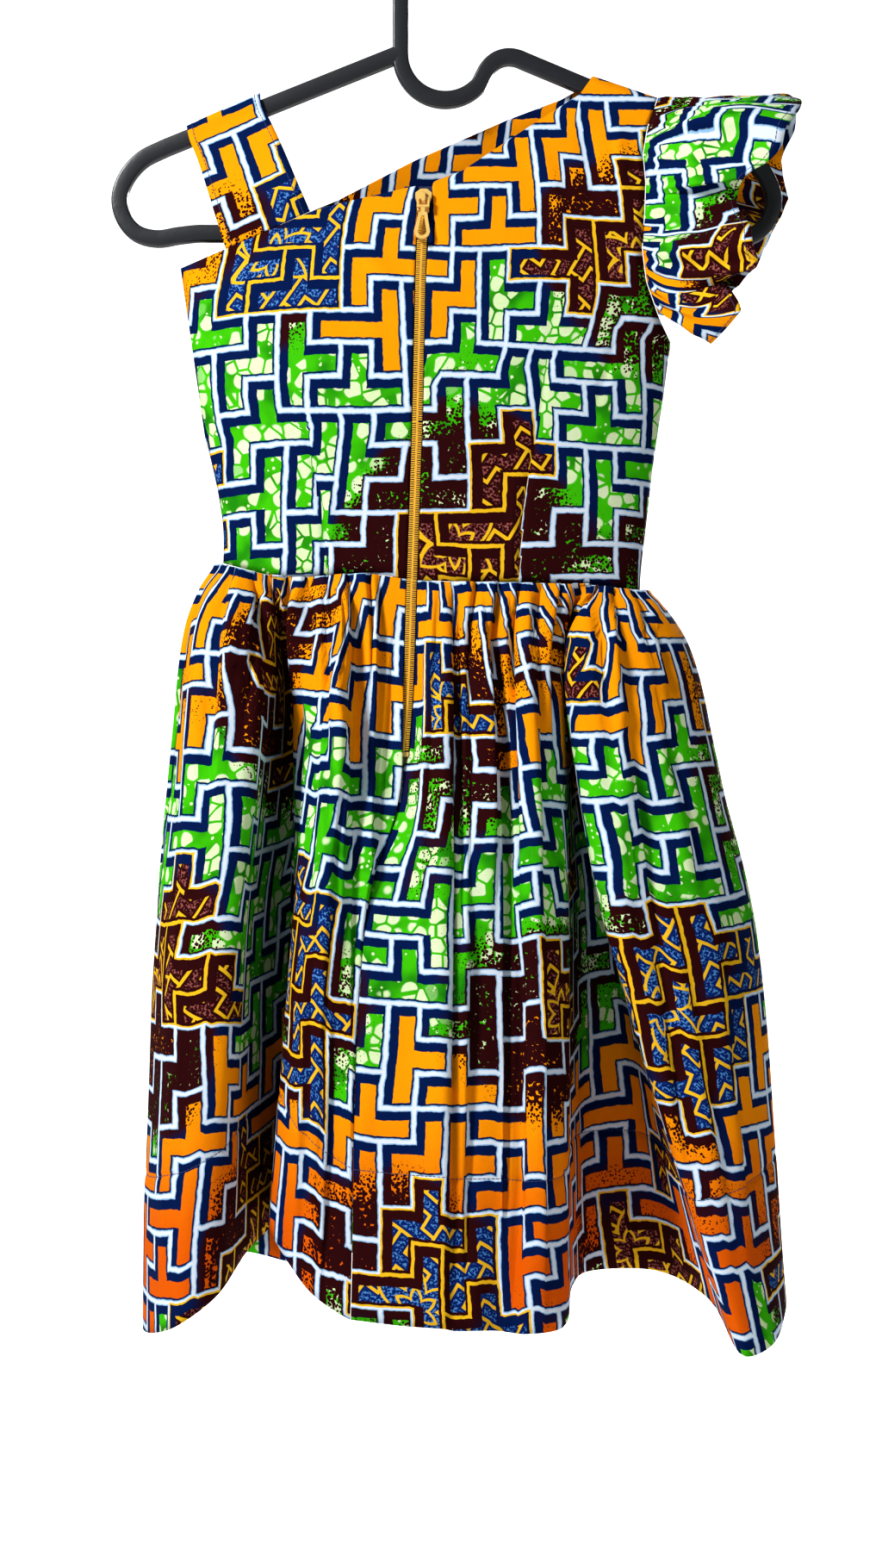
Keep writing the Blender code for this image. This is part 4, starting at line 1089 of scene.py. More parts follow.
# The ruffle's long flutes: where each crest stands round the armhole, its height and its reach
RUFFLE_FLUTES = (
    (0.25, 4.0, 0.035),
    (0.36, 7.0, 0.055),
    (0.47, 5.5, 0.04),
    (0.58, 6.0, 0.05),
    (0.765, 10.0, 0.07),
    (1.14, 5.0, 0.06),
    (1.30, 4.0, 0.05),
    (1.44, 5.0, 0.06),
    (1.61, 4.0, 0.05),
    (1.74, 4.5, 0.04),
)
FLUTE_BASE = 1.5
FLUTE_STEEP = 0.14
FLUTE_RISE = (0.02, 0.55)

# The ruffle's small pleats: how many there are to a share of the armhole, and each one's strength and lean
PLEATS_ROUND = 26.0
PLEAT_DEPTH = 1.5
PLEAT_LEAN = 0.1
PLEAT_RISE = (0.0, 0.08)
PLEAT_FADE = 1.1
RUFFLE_PLEATS = [(random.uniform(*GATHER_STRENGTH), random.uniform(-0.35, 0.35)) for _ in range(80)]

# The ruffle's soft crumples: their depth, where they rise, and two crossing waves round it and out from it
CRUMPLE = 0.9
CRUMPLE_RISE = (0.05, 0.3)
CRUMPLE_WAVES = ((31.0, 7.0), (5.0, 9.0))


def ruffle_grid(back_edge, front_edge, steps, rows):
    """The cap sleeve: a wavy strip from the armhole's edge to a free outer edge."""
    stations = [(row[0], place(*row[1:4]), place(*row[4:])) for row in RUFFLE_ROWS]
    columns = []
    for index in range(len(stations) - 1):
        quad = four_around(stations, index)
        last = index == len(stations) - 2
        for step in range(steps + last):
            share = step / steps
            around = quad[1][0] + (quad[2][0] - quad[1][0]) * share
            line = back_edge if around <= 1.0 else front_edge
            seam = along(line, around if around <= 1.0 else 2.0 - around) + Vector((SLEEVE_GAP, 0.0, 0.0))
            middle = spline_point(*(item[1] for item in quad), share)
            edge = spline_point(*(item[2] for item in quad), share)
            columns.append((around, seam, middle, edge))
    grid = []
    for row in range(rows + 1):
        share = row / rows
        line = []
        for around, seam, middle, edge in columns:
            bend = middle * 2 - (seam + edge) / 2
            line.append(seam * (1 - share) ** 2 + bend * 2 * share * (1 - share) + edge * share**2)
        grid.append(line)
    return grid, [column[0] for column in columns]


def ruffle_flute(around):
    """How far the flutes lift the ruffle's edge: each is soft on its upper side and steep below."""
    lift = 0.0
    for crest, height, reach in RUFFLE_FLUTES:
        off = around - crest
        width = reach if off > 0 else reach * FLUTE_STEEP
        lift += height * math.exp(-((off / width) ** 2))
    return lift - FLUTE_BASE


def sheet_normal(grid, row, column):
    """The normal of a grid of points at one of them."""
    low, high = max(row - 1, 0), min(row + 1, len(grid) - 1)
    left, right = max(column - 1, 0), min(column + 1, len(grid[0]) - 1)
    down = grid[high][column] - grid[low][column]
    over = grid[row][right] - grid[row][left]
    return down.cross(over).normalized()


def ruffle_relief(grid, arounds):
    """Gathers at the ruffle's seam and soft crumples across it, moved along the sheet's own normal."""
    rows = len(grid)
    moved = []
    for row in range(rows):
        share = row / (rows - 1)
        line = []
        for column, around in enumerate(arounds):
            place_in = around * PLEATS_ROUND
            number = int(place_in)
            strength, lean = RUFFLE_PLEATS[number % len(RUFFLE_PLEATS)]
            phase = place_in - number
            wave = math.sin(2 * math.pi * (phase + PLEAT_LEAN * lean * math.sin(2 * math.pi * phase)))
            fade = (1 - share) ** PLEAT_FADE
            gather = PLEAT_DEPTH * strength * wave * smoothstep(*PLEAT_RISE, share) * fade
            first, second = (math.sin(around * turns + share * out) for turns, out in CRUMPLE_WAVES)
            flute = ruffle_flute(around) * smoothstep(*FLUTE_RISE, share)
            lift = gather + CRUMPLE * first * second * smoothstep(*CRUMPLE_RISE, share) + flute
            line.append(grid[row][column] + sheet_normal(grid, row, column) * lift)
        moved.append(line)
    return moved


def ruffle_uv(grid):
    """Cloth coordinates of the ruffle: metres out from the armhole, and round its outer edge."""
    edge = lengths_along(grid[-1], MM)
    rows = lengths_down(grid)
    return [[(RUFFLE_U - out, RUFFLE_V - around) for around, out in zip(edge, row)] for row in rows]


# Meshes


def add_object(name, data):
    made = bpy.data.objects.new(name, data)
    bpy.context.scene.collection.objects.link(made)
    return made


def cloth_from_grid(name, grid, coordinates, material, node, flip=False):
    """A thin shell of cloth on a grid of points in millimetres, with its cloth coordinates as UV."""
    rows = len(grid)
    columns = len(grid[0])
    points = [tuple(point * MM) for line in grid for point in line]
    faces = []
    for row in range(rows - 1):
        for column in range(columns - 1):
            a = row * columns + column
            face = (a, a + 1, a + columns + 1, a + columns)
            faces.append(face[::-1] if flip else face)
    data = bpy.data.meshes.new(name)
    data.from_pydata(points, [], faces)
    flat = [pair for line in coordinates for pair in line]
    layer = data.uv_layers.new(name="cloth")
    for loop in data.loops:
        layer.data[loop.index].uv = flat[loop.vertex_index]
    data.materials.append(material)
    data.shade_smooth()
    obj = add_object(name, data)
    wall = obj.modifiers.new("Wall", "SOLIDIFY")
    wall.thickness = SHELL * MM
    wall.offset = -1.0
    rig.ride(obj, BODY)
    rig.replaces(obj, node)
    return obj


def mesh_object(name, points, faces, material, smooth=35.0):
    """A mesh from points in millimetres, sharp where its faces meet at more than the angle smooth."""
    data = bpy.data.meshes.new(name)
    data.from_pydata([tuple(Vector(point) * MM) for point in points], [], faces)
    mesh = bmesh.new()
    mesh.from_mesh(data)
    bmesh.ops.recalc_face_normals(mesh, faces=mesh.faces)
    mesh.to_mesh(data)
    mesh.free()
    data.materials.append(material)
    data.shade_smooth()
    data.set_sharp_from_angle(angle=math.radians(smooth))
    return add_object(name, data)


def tube_faces(base, rings, corners):
    """The faces of a closed tube whose points start at base, ring by ring."""
    faces = []
    for ring in range(rings - 1):
        low = base + ring * corners
        for corner in range(corners):
            after = (corner + 1) % corners
            faces.append((low + corner, low + after, low + corners + after, low + corners + corner))
    faces.append(tuple(range(base, base + corners)))
    last = base + (rings - 1) * corners
    faces.append(tuple(range(last, last + corners)))
    return faces


def stitches(name, line, normals, material):
    """Sewing stitches along a line of points, each a small ridge that dips into the cloth at its ends."""
    points = []
    faces = []
    lengths = lengths_along(line)

    def at(distance):
        distance = min(max(distance, 0.0), lengths[-1] - 1e-6)
        index = max(i for i in range(len(lengths) - 1) if lengths[i] <= distance)
        share = (distance - lengths[index]) / (lengths[index + 1] - lengths[index])
        normal = normals[index].lerp(normals[index + 1], share).normalized()
        return line[index].lerp(line[index + 1], share), normal

    for number in range(int(lengths[-1] / STITCH_PITCH)):
        base = len(points)
        for share, lift in STITCH_SHAPE:
            distance = number * STITCH_PITCH + STITCH_LENGTH * share
            point, normal = at(distance)
            ahead, _ = at(distance + 0.3)
            back, _ = at(distance - 0.3)
            side = normal.cross(ahead - back).normalized() * THREAD_WIDTH / 2
            top = point + normal * THREAD_HEIGHT * lift
            points += [top - side, top + normal * THREAD_HEIGHT * 0.5, top + side]
        faces += tube_faces(base, len(STITCH_SHAPE), 3)
    obj = mesh_object(name, points, faces, material)
    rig.ride(obj, BODY)
    return obj


def sewn_row(name, grid, material, row=None, column=None, flip=False):
    """Sewing stitches on the outer side of a piece, along a row or a column of its grid."""
    if row is None:
        places = [(index, column) for index in range(len(grid))]
    else:
        places = [(row, index) for index in range(len(grid[0]))]
    outward = 1 if flip else -1
    line = [grid[r][c] for r, c in places]
    normals = [sheet_normal(grid, r, c) * outward for r, c in places]
    return stitches(name, line, normals, material)


def cut_of(coordinates):
    """The flat cut that the cloth coordinates give: its width, its length and its area, in metres."""
    across = [u for line in coordinates for u, _ in line]
    down = [v for line in coordinates for _, v in line]
    right = [line[-1] for line in coordinates[1:-1]]
    left = [line[0] for line in reversed(coordinates[1:-1])]
    outline = [*coordinates[0], *right, *reversed(coordinates[-1]), *left]
    twice = sum(a[0] * b[1] - b[0] * a[1] for a, b in zip(outline, outline[1:] + outline[:1]))
    return max(across) - min(across), max(down) - min(down), abs(twice) / 2


def declare_cloth(obj, coordinates, slot, held, rests_on, with_pieces=()):
    width, length, area = cut_of(coordinates)
    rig.slot(obj, slot)
    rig.sheet(
        obj,
        flat=(width, length),
        held=held,
        rests_on=rests_on,
        area=min(area, width * length),
        with_pieces=list(with_pieces),
    )


# Node graphs


class Value:
    """A number or a colour in a node tree. Numbers are added, multiplied and compared like plain ones."""

    def __init__(self, graph, socket):
        self.graph = graph
        self.socket = socket

    def __add__(self, other):
        return self.graph.math("ADD", self, other)

    def __sub__(self, other):
        return self.graph.math("SUBTRACT", self, other)

    def __rsub__(self, other):
        return self.graph.math("SUBTRACT", other, self)

    def __mul__(self, other):
        return self.graph.math("MULTIPLY", self, other)

    def __truediv__(self, other):
        return self.graph.math("DIVIDE", self, other)

    def __mod__(self, other):
        return self.graph.math("FLOORED_MODULO", self, other)

    def __lt__(self, other):
        return self.graph.math("LESS_THAN", self, other)

    def __gt__(self, other):
        return self.graph.math("GREATER_THAN", self, other)

    def __abs__(self):
        return self.graph.math("ABSOLUTE", self)

    def __round__(self):
        return self.graph.math("ROUND", self)

    def __floor__(self):
        return self.graph.math("FLOOR", self)


class Graph:
    """Short calls for building a node tree. Inputs are given by their name or number."""

    def __init__(self, tree):
        self.tree = tree

    def link(self, value, socket):
        if isinstance(value, Value):
            self.tree.links.new(value.socket, socket)
        elif isinstance(value, tuple) and socket.type == "RGBA":
            socket.default_value = (*value, 1.0)
        else:
            socket.default_value = value

    def fill(self, node, inputs):
        for name, value in dict(inputs).items():
            self.link(value, node.inputs[name])

    def node(self, kind, inputs=(), **settings):
        made = self.tree.nodes.new(kind)
        for name, value in settings.items():
            setattr(made, name, value)
        self.fill(made, inputs)
        return made

    def outputs(self, kind, inputs=(), **settings):
        """All outputs of a new node."""
        return [Value(self, socket) for socket in self.node(kind, inputs, **settings).outputs]

    def output(self, kind, name, inputs=(), **settings):
        """One output of a new node, by its name or number."""
        return Value(self, self.node(kind, inputs, **settings).outputs[name])

    def math(self, operation, *values):
        return self.output("ShaderNodeMath", 0, enumerate(values), operation=operation)

    def highest(self, first, second):
        return self.math("MAXIMUM", first, second)

    def lowest(self, first, second):
        return self.math("MINIMUM", first, second)

    def mix(self, share, first, second):
        """Mix two colours."""
        return self.output("ShaderNodeMix", 2, {"Factor": share, 6: first, 7: second}, data_type="RGBA")

    def blend(self, share, first, second):
        """Mix two numbers."""
        return self.output("ShaderNodeMix", 0, {"Factor": share, 2: first, 3: second}, data_type="FLOAT")

    def step(self, value, low, high):
        """A smooth rise from 0 at low to 1 at high."""
        inputs = enumerate((value, low, high))
        return self.output("ShaderNodeMapRange", 0, inputs, interpolation_type="SMOOTHSTEP")

    def vector(self, x, y):
        return self.output("ShaderNodeCombineXYZ", 0, enumerate((x, y)))

    def noise(self, vector, scale, detail=2.0, roughness=0.5):
        inputs = {"Vector": vector, "Scale": scale, "Detail": detail, "Roughness": roughness}
        return self.output("ShaderNodeTexNoise", "Fac", inputs)

    def cells(self, vector, scale):
        """Cells like bubbles: the distance to their edges, to their middles, and one random number each."""
        inputs = {"Vector": vector, "Scale": scale}
        edge = self.output("ShaderNodeTexVoronoi", "Distance", inputs, feature="DISTANCE_TO_EDGE")
        middle, colour, *_ = self.outputs("ShaderNodeTexVoronoi", inputs)
        return edge, middle, self.output("ShaderNodeSeparateColor", 0, {0: colour})

    def table(self, position, rows):
        """Look up one of several colours by a position from 0 to 1, with no blending between them."""
        made = self.node("ShaderNodeValToRGB", {0: position})
        ramp = made.color_ramp
        ramp.interpolation = "CONSTANT"
        while len(ramp.elements) < len(rows):
            ramp.elements.new(0.5)
        for index in range(len(rows)):
            ramp.elements[index].position = index / len(rows)
        for element, row in zip(ramp.elements, rows):
            element.color = row
        colour, alpha = (Value(self, socket) for socket in made.outputs)
        return *self.outputs("ShaderNodeSeparateColor", {0: colour}), alpha

    def bump(self, shader, height, strength):
        """Raise the surface by a height in metres."""
        inputs = {"Height": height, "Strength": strength, "Distance": 1.0}
        self.link(self.output("ShaderNodeBump", 0, inputs), shader.inputs["Normal"])


def new_material(name):
    """A material, the graph that builds it and its shader."""
    made = bpy.data.materials.new(name)
    made.use_nodes = True
    return made, Graph(made.node_tree), made.node_tree.nodes["Principled BSDF"]


# The print's fret: a chart of squares, in which squares of one letter that touch make one piece

STEPS = {"right": (1, 0), "up": (0, 1), "left": (-1, 0), "down": (0, -1)}


def fret_neighbour(square, way):
    dx, dy = STEPS[way]
    return (square + dx + FRET_SHIFT * dy) % len(FRET)


def fret_offsets():
    """The way from its piece's first square to each square of the chart."""
    offsets = {}
    for start, letter in enumerate(FRET):
        if any(FRET[found] == letter for found in offsets):
            continue
        offsets[start] = (0, 0)
        queue = [start]
        while queue:
            square = queue.pop(0)
            for way, (dx, dy) in STEPS.items():
                other = fret_neighbour(square, way)
                if FRET[other] == letter and other not in offsets:
                    offsets[other] = (offsets[square][0] + dx, offsets[square][1] + dy)
                    queue.append(other)
    return offsets


def fret_layout():
    """For each square of the chart: its sides, its corners and the way to its piece's first square."""
    squares = range(len(FRET))
    offsets = fret_offsets()

    def side(square, way):
        """1 if a line runs along this side of the square."""
        dx, dy = STEPS[way]
        other = fret_neighbour(square, way)
        joined = offsets[other] == (offsets[square][0] + dx, offsets[square][1] + dy)
        return 0.0 if FRET[other] == FRET[square] and joined else 1.0

    def corner(square, across, upward):
        """1 if a line of a neighbour ends in this corner of the square."""
        beside = fret_neighbour(square, across)
        above = fret_neighbour(square, upward)
        return max(side(beside, upward), side(above, across))

    corner_ways = (("right", "up"), ("left", "up"), ("left", "down"), ("right", "down"))
    sides = [tuple(side(square, way) for way in STEPS) for square in squares]
    corners = [tuple(corner(square, *ways) for ways in corner_ways) for square in squares]
    ways = [(*((part + WAY_MIDDLE) / WAY_SPAN for part in offsets[square]), 0.0, 1.0) for square in squares]
    return sides, corners, ways


def fret_group():
    """A node group that gives the distance to the fret's lines and the piece's place, both in squares."""
    tree = bpy.data.node_groups.new("fret", "ShaderNodeTree")
    for way, names in (("INPUT", ("X", "Y")), ("OUTPUT", ("Distance", "Piece X", "Piece Y"))):
        for name in names:
            tree.interface.new_socket(name, in_out=way, socket_type="NodeSocketFloat")
    graph = Graph(tree)
    x, y, *_ = graph.outputs("NodeGroupInput")
    column = math.floor(x)
    row = math.floor(y)
    left = x - column
    down = y - row
    right = 1.0 - left
    up = 1.0 - down
    square = (column + row * FRET_SHIFT) % len(FRET)
    position = (square + 0.5) / len(FRET)
    sides, corners, ways = (graph.table(position, rows) for rows in fret_layout())
    reaches = [gap + (1.0 - flag) * NO_LINE for flag, gap in zip(sides, (right, up, left, down))]
    for flag, pair in zip(corners, ((right, up), (left, up), (left, down), (right, down))):
        reaches.append(graph.highest(*pair) + (1.0 - flag) * NO_LINE)
    nearest = functools.reduce(graph.lowest, reaches)
    piece_x = column - round(ways[0] * WAY_SPAN - WAY_MIDDLE)
    piece_y = row - round(ways[1] * WAY_SPAN - WAY_MIDDLE)
    graph.node("NodeGroupOutput", enumerate((nearest, piece_x, piece_y)))
    return tree


def medallions(graph, u, v, band_top):
    """Radius, angle and kind of the nearest in a staggered field of medallions."""
    rows_at = (v - (-band_top - MEDALLION_ROW)) / (BAND_REPEAT / 2)
    row = round(rows_at)
    columns_at = (u - MEDALLION_START) / MEDALLION_SPACING + row % 2.0 * 0.5
    column = round(columns_at)
    x = (columns_at - column) * MEDALLION_SPACING
    y = (rows_at - row) * (BAND_REPEAT / 2)
    radius = graph.math("SQRT", x * x + y * y)
    return radius, graph.math("ARCTAN2", y, x), (column + row) % 2.0


def bubbled_green(graph, ground):
    """Green with pale bubbles, and small ones where the large ones are left out."""
    wall, middle, lot = graph.cells(ground, LARGE_BUBBLES)
    large = graph.step(wall, *BUBBLE_WALL) * graph.step(middle, *BUBBLE_SIZE)
    _, small_middle, small_lot = graph.cells(ground, SMALL_BUBBLES)
    small = graph.step(small_middle, *SMALL_BUBBLE_SIZE) * graph.step(small_lot, *SMALL_BUBBLE_LOT)
    left_out = reversed(BUBBLE_LOT)
    pale = graph.highest(large * graph.step(lot, *BUBBLE_LOT), small * graph.step(lot, *left_out))
    mottle = graph.noise(ground, MOTTLE_WAVES, 2.0)
    green = graph.mix(graph.step(mottle, *MOTTLE_STEP), GREEN, GREEN_DEEP)
    return graph.mix(pale, green, graph.mix(mottle, BUBBLE, BUBBLE_DEEP))


def print_material(name, offset_x, band_top):
    """Wax-printed cotton: a fret of white lines with navy shade, bands of colour, and star medallions."""
    made, graph, shader = new_material(name)
    cloth = graph.output("ShaderNodeUVMap", 0, uv_map="cloth")
    u, v, _ = graph.outputs("ShaderNodeSeparateXYZ", {0: cloth})
    u = u + offset_x
    ground = graph.vector(u, v)
    drift = graph.noise(ground, DRIFT_WAVES, 1.0) - 0.5
    warp_u = u + drift * DRIFT_U
    warp_v = v + drift * DRIFT_V
    wobble = (graph.noise(ground, WOBBLE_WAVES, 2.0) - 0.5) * WOBBLE
    x = warp_u / PRINT_UNIT + wobble
    y = warp_v / PRINT_UNIT + wobble
    group = bpy.data.node_groups.get("fret") or fret_group()

    def fret(across, upward):
        return graph.outputs("ShaderNodeGroup", {0: across, 1: upward}, node_tree=group)

    line, piece_x, piece_y = fret(x, y)
    shade, *_ = fret(x - SHADE_SHIFT, y + SHADE_SHIFT)

    # Bands of orange and green, one colour for each piece of the fret
    scatter = graph.noise(graph.vector(piece_x, piece_y), SCATTER_WAVES, 0.0) - 0.5
    depth = piece_y * -PRINT_UNIT - band_top + scatter * SCATTER
    band = graph.math("FRACT", depth / BAND_REPEAT)
    low, high = GREEN_BAND
    in_green = (band > low) * (band < high)
    lower = graph.step(v, *DEEPER_ORANGE) if band_top == SKIRT_PRINT_TOP else 0.0
    colour = graph.mix(in_green, graph.mix(lower, ORANGE, ORANGE_DEEP), bubbled_green(graph, ground))

    # Medallions take whole pieces of the fret
    reach, _, kind = medallions(graph, piece_x * PRINT_UNIT, piece_y * PRINT_UNIT, band_top)
    radius, angle, _ = medallions(graph, warp_u, warp_v, band_top)
    inside = reach < MEDALLION_REACH

    # Dark stippled shade that comes and goes, deepest round the medallions
    dense = (graph.noise(ground, SHADE_WAVES, 2.0) - SHADE_LEVEL) * SHADE_STRENGTH
    dense = dense + graph.step(radius, *SHADE_ROUND_MEDALLION) * graph.blend(kind, *SHADE_BY_KIND)
    dense = dense + graph.step(band, *SHADE_AT_BAND_END) * BAND_END_STRENGTH
    dots = graph.output("ShaderNodeTexVoronoi", "Distance", {"Vector": ground, "Scale": STIPPLE_CELLS})
    stipple = dots < graph.step(dense, 0.0, 1.0) * STIPPLE_FULL
    colour = graph.mix(stipple, colour, MAROON)

    # A medallion holds a fine yellow fret and a star, on a mottled ground
    net_x = warp_u * NET_COSINE - warp_v * NET_SINE
    net_y = warp_u * NET_SINE + warp_v * NET_COSINE
    net, *_ = fret(net_x / FINE_UNIT, net_y / FINE_UNIT)
    point = graph.math("PINGPONG", angle * (STAR_POINTS / 2 / math.pi), 1.0)
    star_edge = point * STAR_POINT + STAR_INSIDE
    in_star = radius < star_edge
    net_line = graph.step(net, *NET_LINE) * (1.0 - in_star)
    star_gap = graph.lowest(abs(radius - star_edge), abs(radius - star_edge * STAR_RING))
    yellow_line = graph.highest(net_line, graph.step(star_gap, *STAR_LINE))
    fleck = graph.step(graph.noise(ground, FLECK_WAVES, 1.0), *FLECK_STEP)
    fleck = fleck * graph.highest(graph.step(net, *FLECK_OFF_NET), in_star)
    blue = graph.mix(fleck * BLUE_FLECKS, BLUE_GROUND, BLUE_FLECK)
    maroon = graph.mix(fleck * PINK_FLECKS, MAROON, PINK_FLECK)
    medallion = graph.mix(graph.step(kind, *KIND_STEP), maroon, blue)
    colour = graph.mix(inside, colour, graph.mix(yellow_line, medallion, YELLOW))

    # The fret's lines, yellow beside the medallions
    dark = graph.mix(graph.step(dense, *SHADE_TO_MAROON), NAVY, MAROON)
    colour = graph.mix(graph.step(shade, *SHADE_WIDTH), colour, dark)
    for line_colour, plain, beside in FRET_LINES:
        limits = [graph.blend(inside, *pair) for pair in zip(plain, beside)]
        colour = graph.mix(graph.step(line, *limits), colour, graph.mix(inside, line_colour, YELLOW))

    # Slight unevenness of dye, the weave and soft crumples
    colour = graph.mix(graph.noise(ground, SPECK_WAVES, 2.0) * SPECKS, colour, SPECKLE)
    finish = {"Base Color": colour, "Roughness": CLOTH_ROUGHNESS, "Specular IOR Level": CLOTH_GLOSS}
    graph.fill(shader, finish)
    across, down = (graph.math("SINE", at * (2 * math.pi / WEAVE_PITCH)) for at in (u, v))
    crumple = graph.noise(ground, CRUMPLE_SCALE, 3.0, 0.55)
    graph.bump(shader, across * down * WEAVE_DEPTH + crumple * CRUMPLE_DEPTH, CLOTH_BUMP)
    return made


def plain_material(name, colour, roughness, metallic=0.0, bump_scale=0.0, bump_depth=0.0, sheen=0.0):
    """A one-colour finish with slight variation and a fine bump."""
    made, graph, shader = new_material(name)
    where = graph.output("ShaderNodeTexCoord", "Object")
    vary = graph.noise(where, PLAIN_WAVES, 3.0)
    darker = tuple(value * PLAIN_DARKER for value in colour)
    smoother, rougher = (roughness * share for share in PLAIN_ROUGHNESS)
    finish = {
        "Base Color": graph.mix(vary, colour, darker),
        "Roughness": graph.blend(vary, smoother, min(rougher, 1.0)),
        "Metallic": metallic,
        "Sheen Weight": sheen,
    }
    graph.fill(shader, finish)
    if bump_scale:
        graph.bump(shader, graph.noise(where, bump_scale, 2.0) * bump_depth, PLAIN_BUMP)
    return made


# Zip

TOOTH_PITCH = 1.35

# One coil tooth from the tape's edge over the middle: x, y and half its thickness
TOOTH = ((3.1, 0.5, 0.36), (2.9, -0.45, 0.42), (1.2, -0.85, 0.42), (-0.5, -0.75, 0.40), (-0.7, 0.1, 0.3))
TOOTH_CORNERS = 6
TOOTH_CLEAR = 0.3
ZIP_FOOT_X = -24.0


def zip_places(back_left, skirt_right):
    """Places down the zip's middle line, from its top to its end."""
    places = [line[-1] + Vector((ZIP_OPENING, 0.0, 0.0)) for line in reversed(back_left)]
    end_z = waist_height(ZIP_FOOT_X) - ZIP_END * SKIRT_LENGTH
    places += [line[0] - Vector((ZIP_OPENING, 0.0, 0.0)) for line in skirt_right if line[0].z > end_z]
    return places


def zip_chain(places, top, bottom, material):
    """Two rows of coil teeth that meet in the middle."""
    points = []
    faces = []
    lengths = lengths_along(places)
    distance = 0.0
    index = 0
    while distance < lengths[-1]:
        while lengths[index + 1] < distance:
            index += 1
        share = (distance - lengths[index]) / (lengths[index + 1] - lengths[index])
        point = places[index].lerp(places[index + 1], share)
        distance += TOOTH_PITCH / 2
        if not bottom < point.z < top:
            continue
        side = -1 if int(distance / (TOOTH_PITCH / 2)) % 2 else 1
        tooth(points, faces, point, side)
    obj = mesh_object("zip_coil", points, faces, material, 50.0)
    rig.ride(obj, BODY)
    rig.replaces(obj, "zip_chain")
    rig.slot(obj, "zip_gold")


def tooth(points, faces, point, side):
    """One coil tooth, on one side of the zip's middle line."""
    faces += tube_faces(len(points), len(TOOTH), TOOTH_CORNERS)
    for x, y, half in TOOTH:
        for corner in range(TOOTH_CORNERS):
            angle = 2 * math.pi / TOOTH_CORNERS * corner
            offset = Vector((0.0, -half * math.cos(angle), half * math.sin(angle)))
            points.append(point + Vector((x * side, y, 0.0)) + offset)


# Hanger

ROD_SPACE = 23.0
BAR_HEIGHT = 10.0
BAR_DEPTH = 7.0
BAR_CORNERS = 20
BAR_SQUARENESS = 0.32
HANGER_MIDDLE = 0.8
BEND = ROD_SPACE + BAR_HEIGHT / 2
NECK_FOOT = -89.5
HOOK_TIP_DROP = 13.0
LOWER_BAR_Z = -202.1

# Places along the middle of the bar: the hump right of the neck's dip, and the left end's loop
HUMP = ((20.8, -109.2), (26.4, -98.8), (32.4, -93.6), (39.0, -91.8), (45.0, -92.6), (50.0, -94.63))
LOOP = (
    (-161.6, -143.2),
    (-165.5, -144.8),
    (-177.0, -149.6),
    (-189.7, -156.3),
    (-199.4, -167.6),
    (-203.5, -180.6),
    (-200.5, -193.5),
    (-192.4, -202.2),
    (-180.0, -205.4),
    (-166.5, -203.4),
    (-154.5, LOWER_BAR_Z),
    (-148.0, LOWER_BAR_Z),
)


def arc(centre, radius, start, end, steps):
    """Points on a circle from one angle to another, in degrees."""
    found = []
    for step in range(steps + 1):
        angle = math.radians(start + (end - start) * step / steps)
        found.append((centre[0] + radius * math.cos(angle), centre[1] + radius * math.sin(angle)))
    return found


def smooth_path(points, steps):
    """A smooth curve through points, with a few steps between each pair."""
    places = [Vector(point) for point in points]
    found = []
    for index in range(len(places) - 1):
        quad = four_around(places, index)
        quad[0] = quad[0] if index else places[0] * 2 - places[1]
        quad[3] = quad[3] if index < len(places) - 2 else places[-1] * 2 - places[-2]
        found += [spline_point(*quad, step / steps) for step in range(steps)]
    return [tuple(point) for point in [*found, places[-1]]]


def bar_profile():
    """The bar's section: an oblong with rounded corners, as height over the path and depth."""
    profile = []
    for step in range(BAR_CORNERS):
        angle = 2 * math.pi * step / BAR_CORNERS
        cosine, sine = math.cos(angle), math.sin(angle)
        high = BAR_HEIGHT / 2 * math.copysign(abs(cosine) ** BAR_SQUARENESS, cosine)
        deep = BAR_DEPTH / 2 * math.copysign(abs(sine) ** BAR_SQUARENESS, sine)
        profile.append((high, deep))
    return profile


def bar(name, path, material, *nodes):
    """A rounded bar of the hanger along a path of x and z."""
    profile = bar_profile()
    points = []
    last = len(path) - 1
    for index, point in enumerate(path):
        here = Vector(point)
        into = here - Vector(path[max(index - 1, 0)])
        leave = Vector(path[min(index + 1, last)]) - here
        direction = (into.normalized() + leave.normalized()).normalized()
        upward = Vector((-direction.y, direction.x))
        for high, deep in profile:
            flat = here + upward * high
            points.append((flat.x, deep, flat.y))
    obj = mesh_object(name, points, tube_faces(0, len(path), len(profile)), material, 50.0)
    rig.ride(obj, BODY)
    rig.replaces(obj, *nodes)
    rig.slot(obj, "hanger_plastic")
    return obj


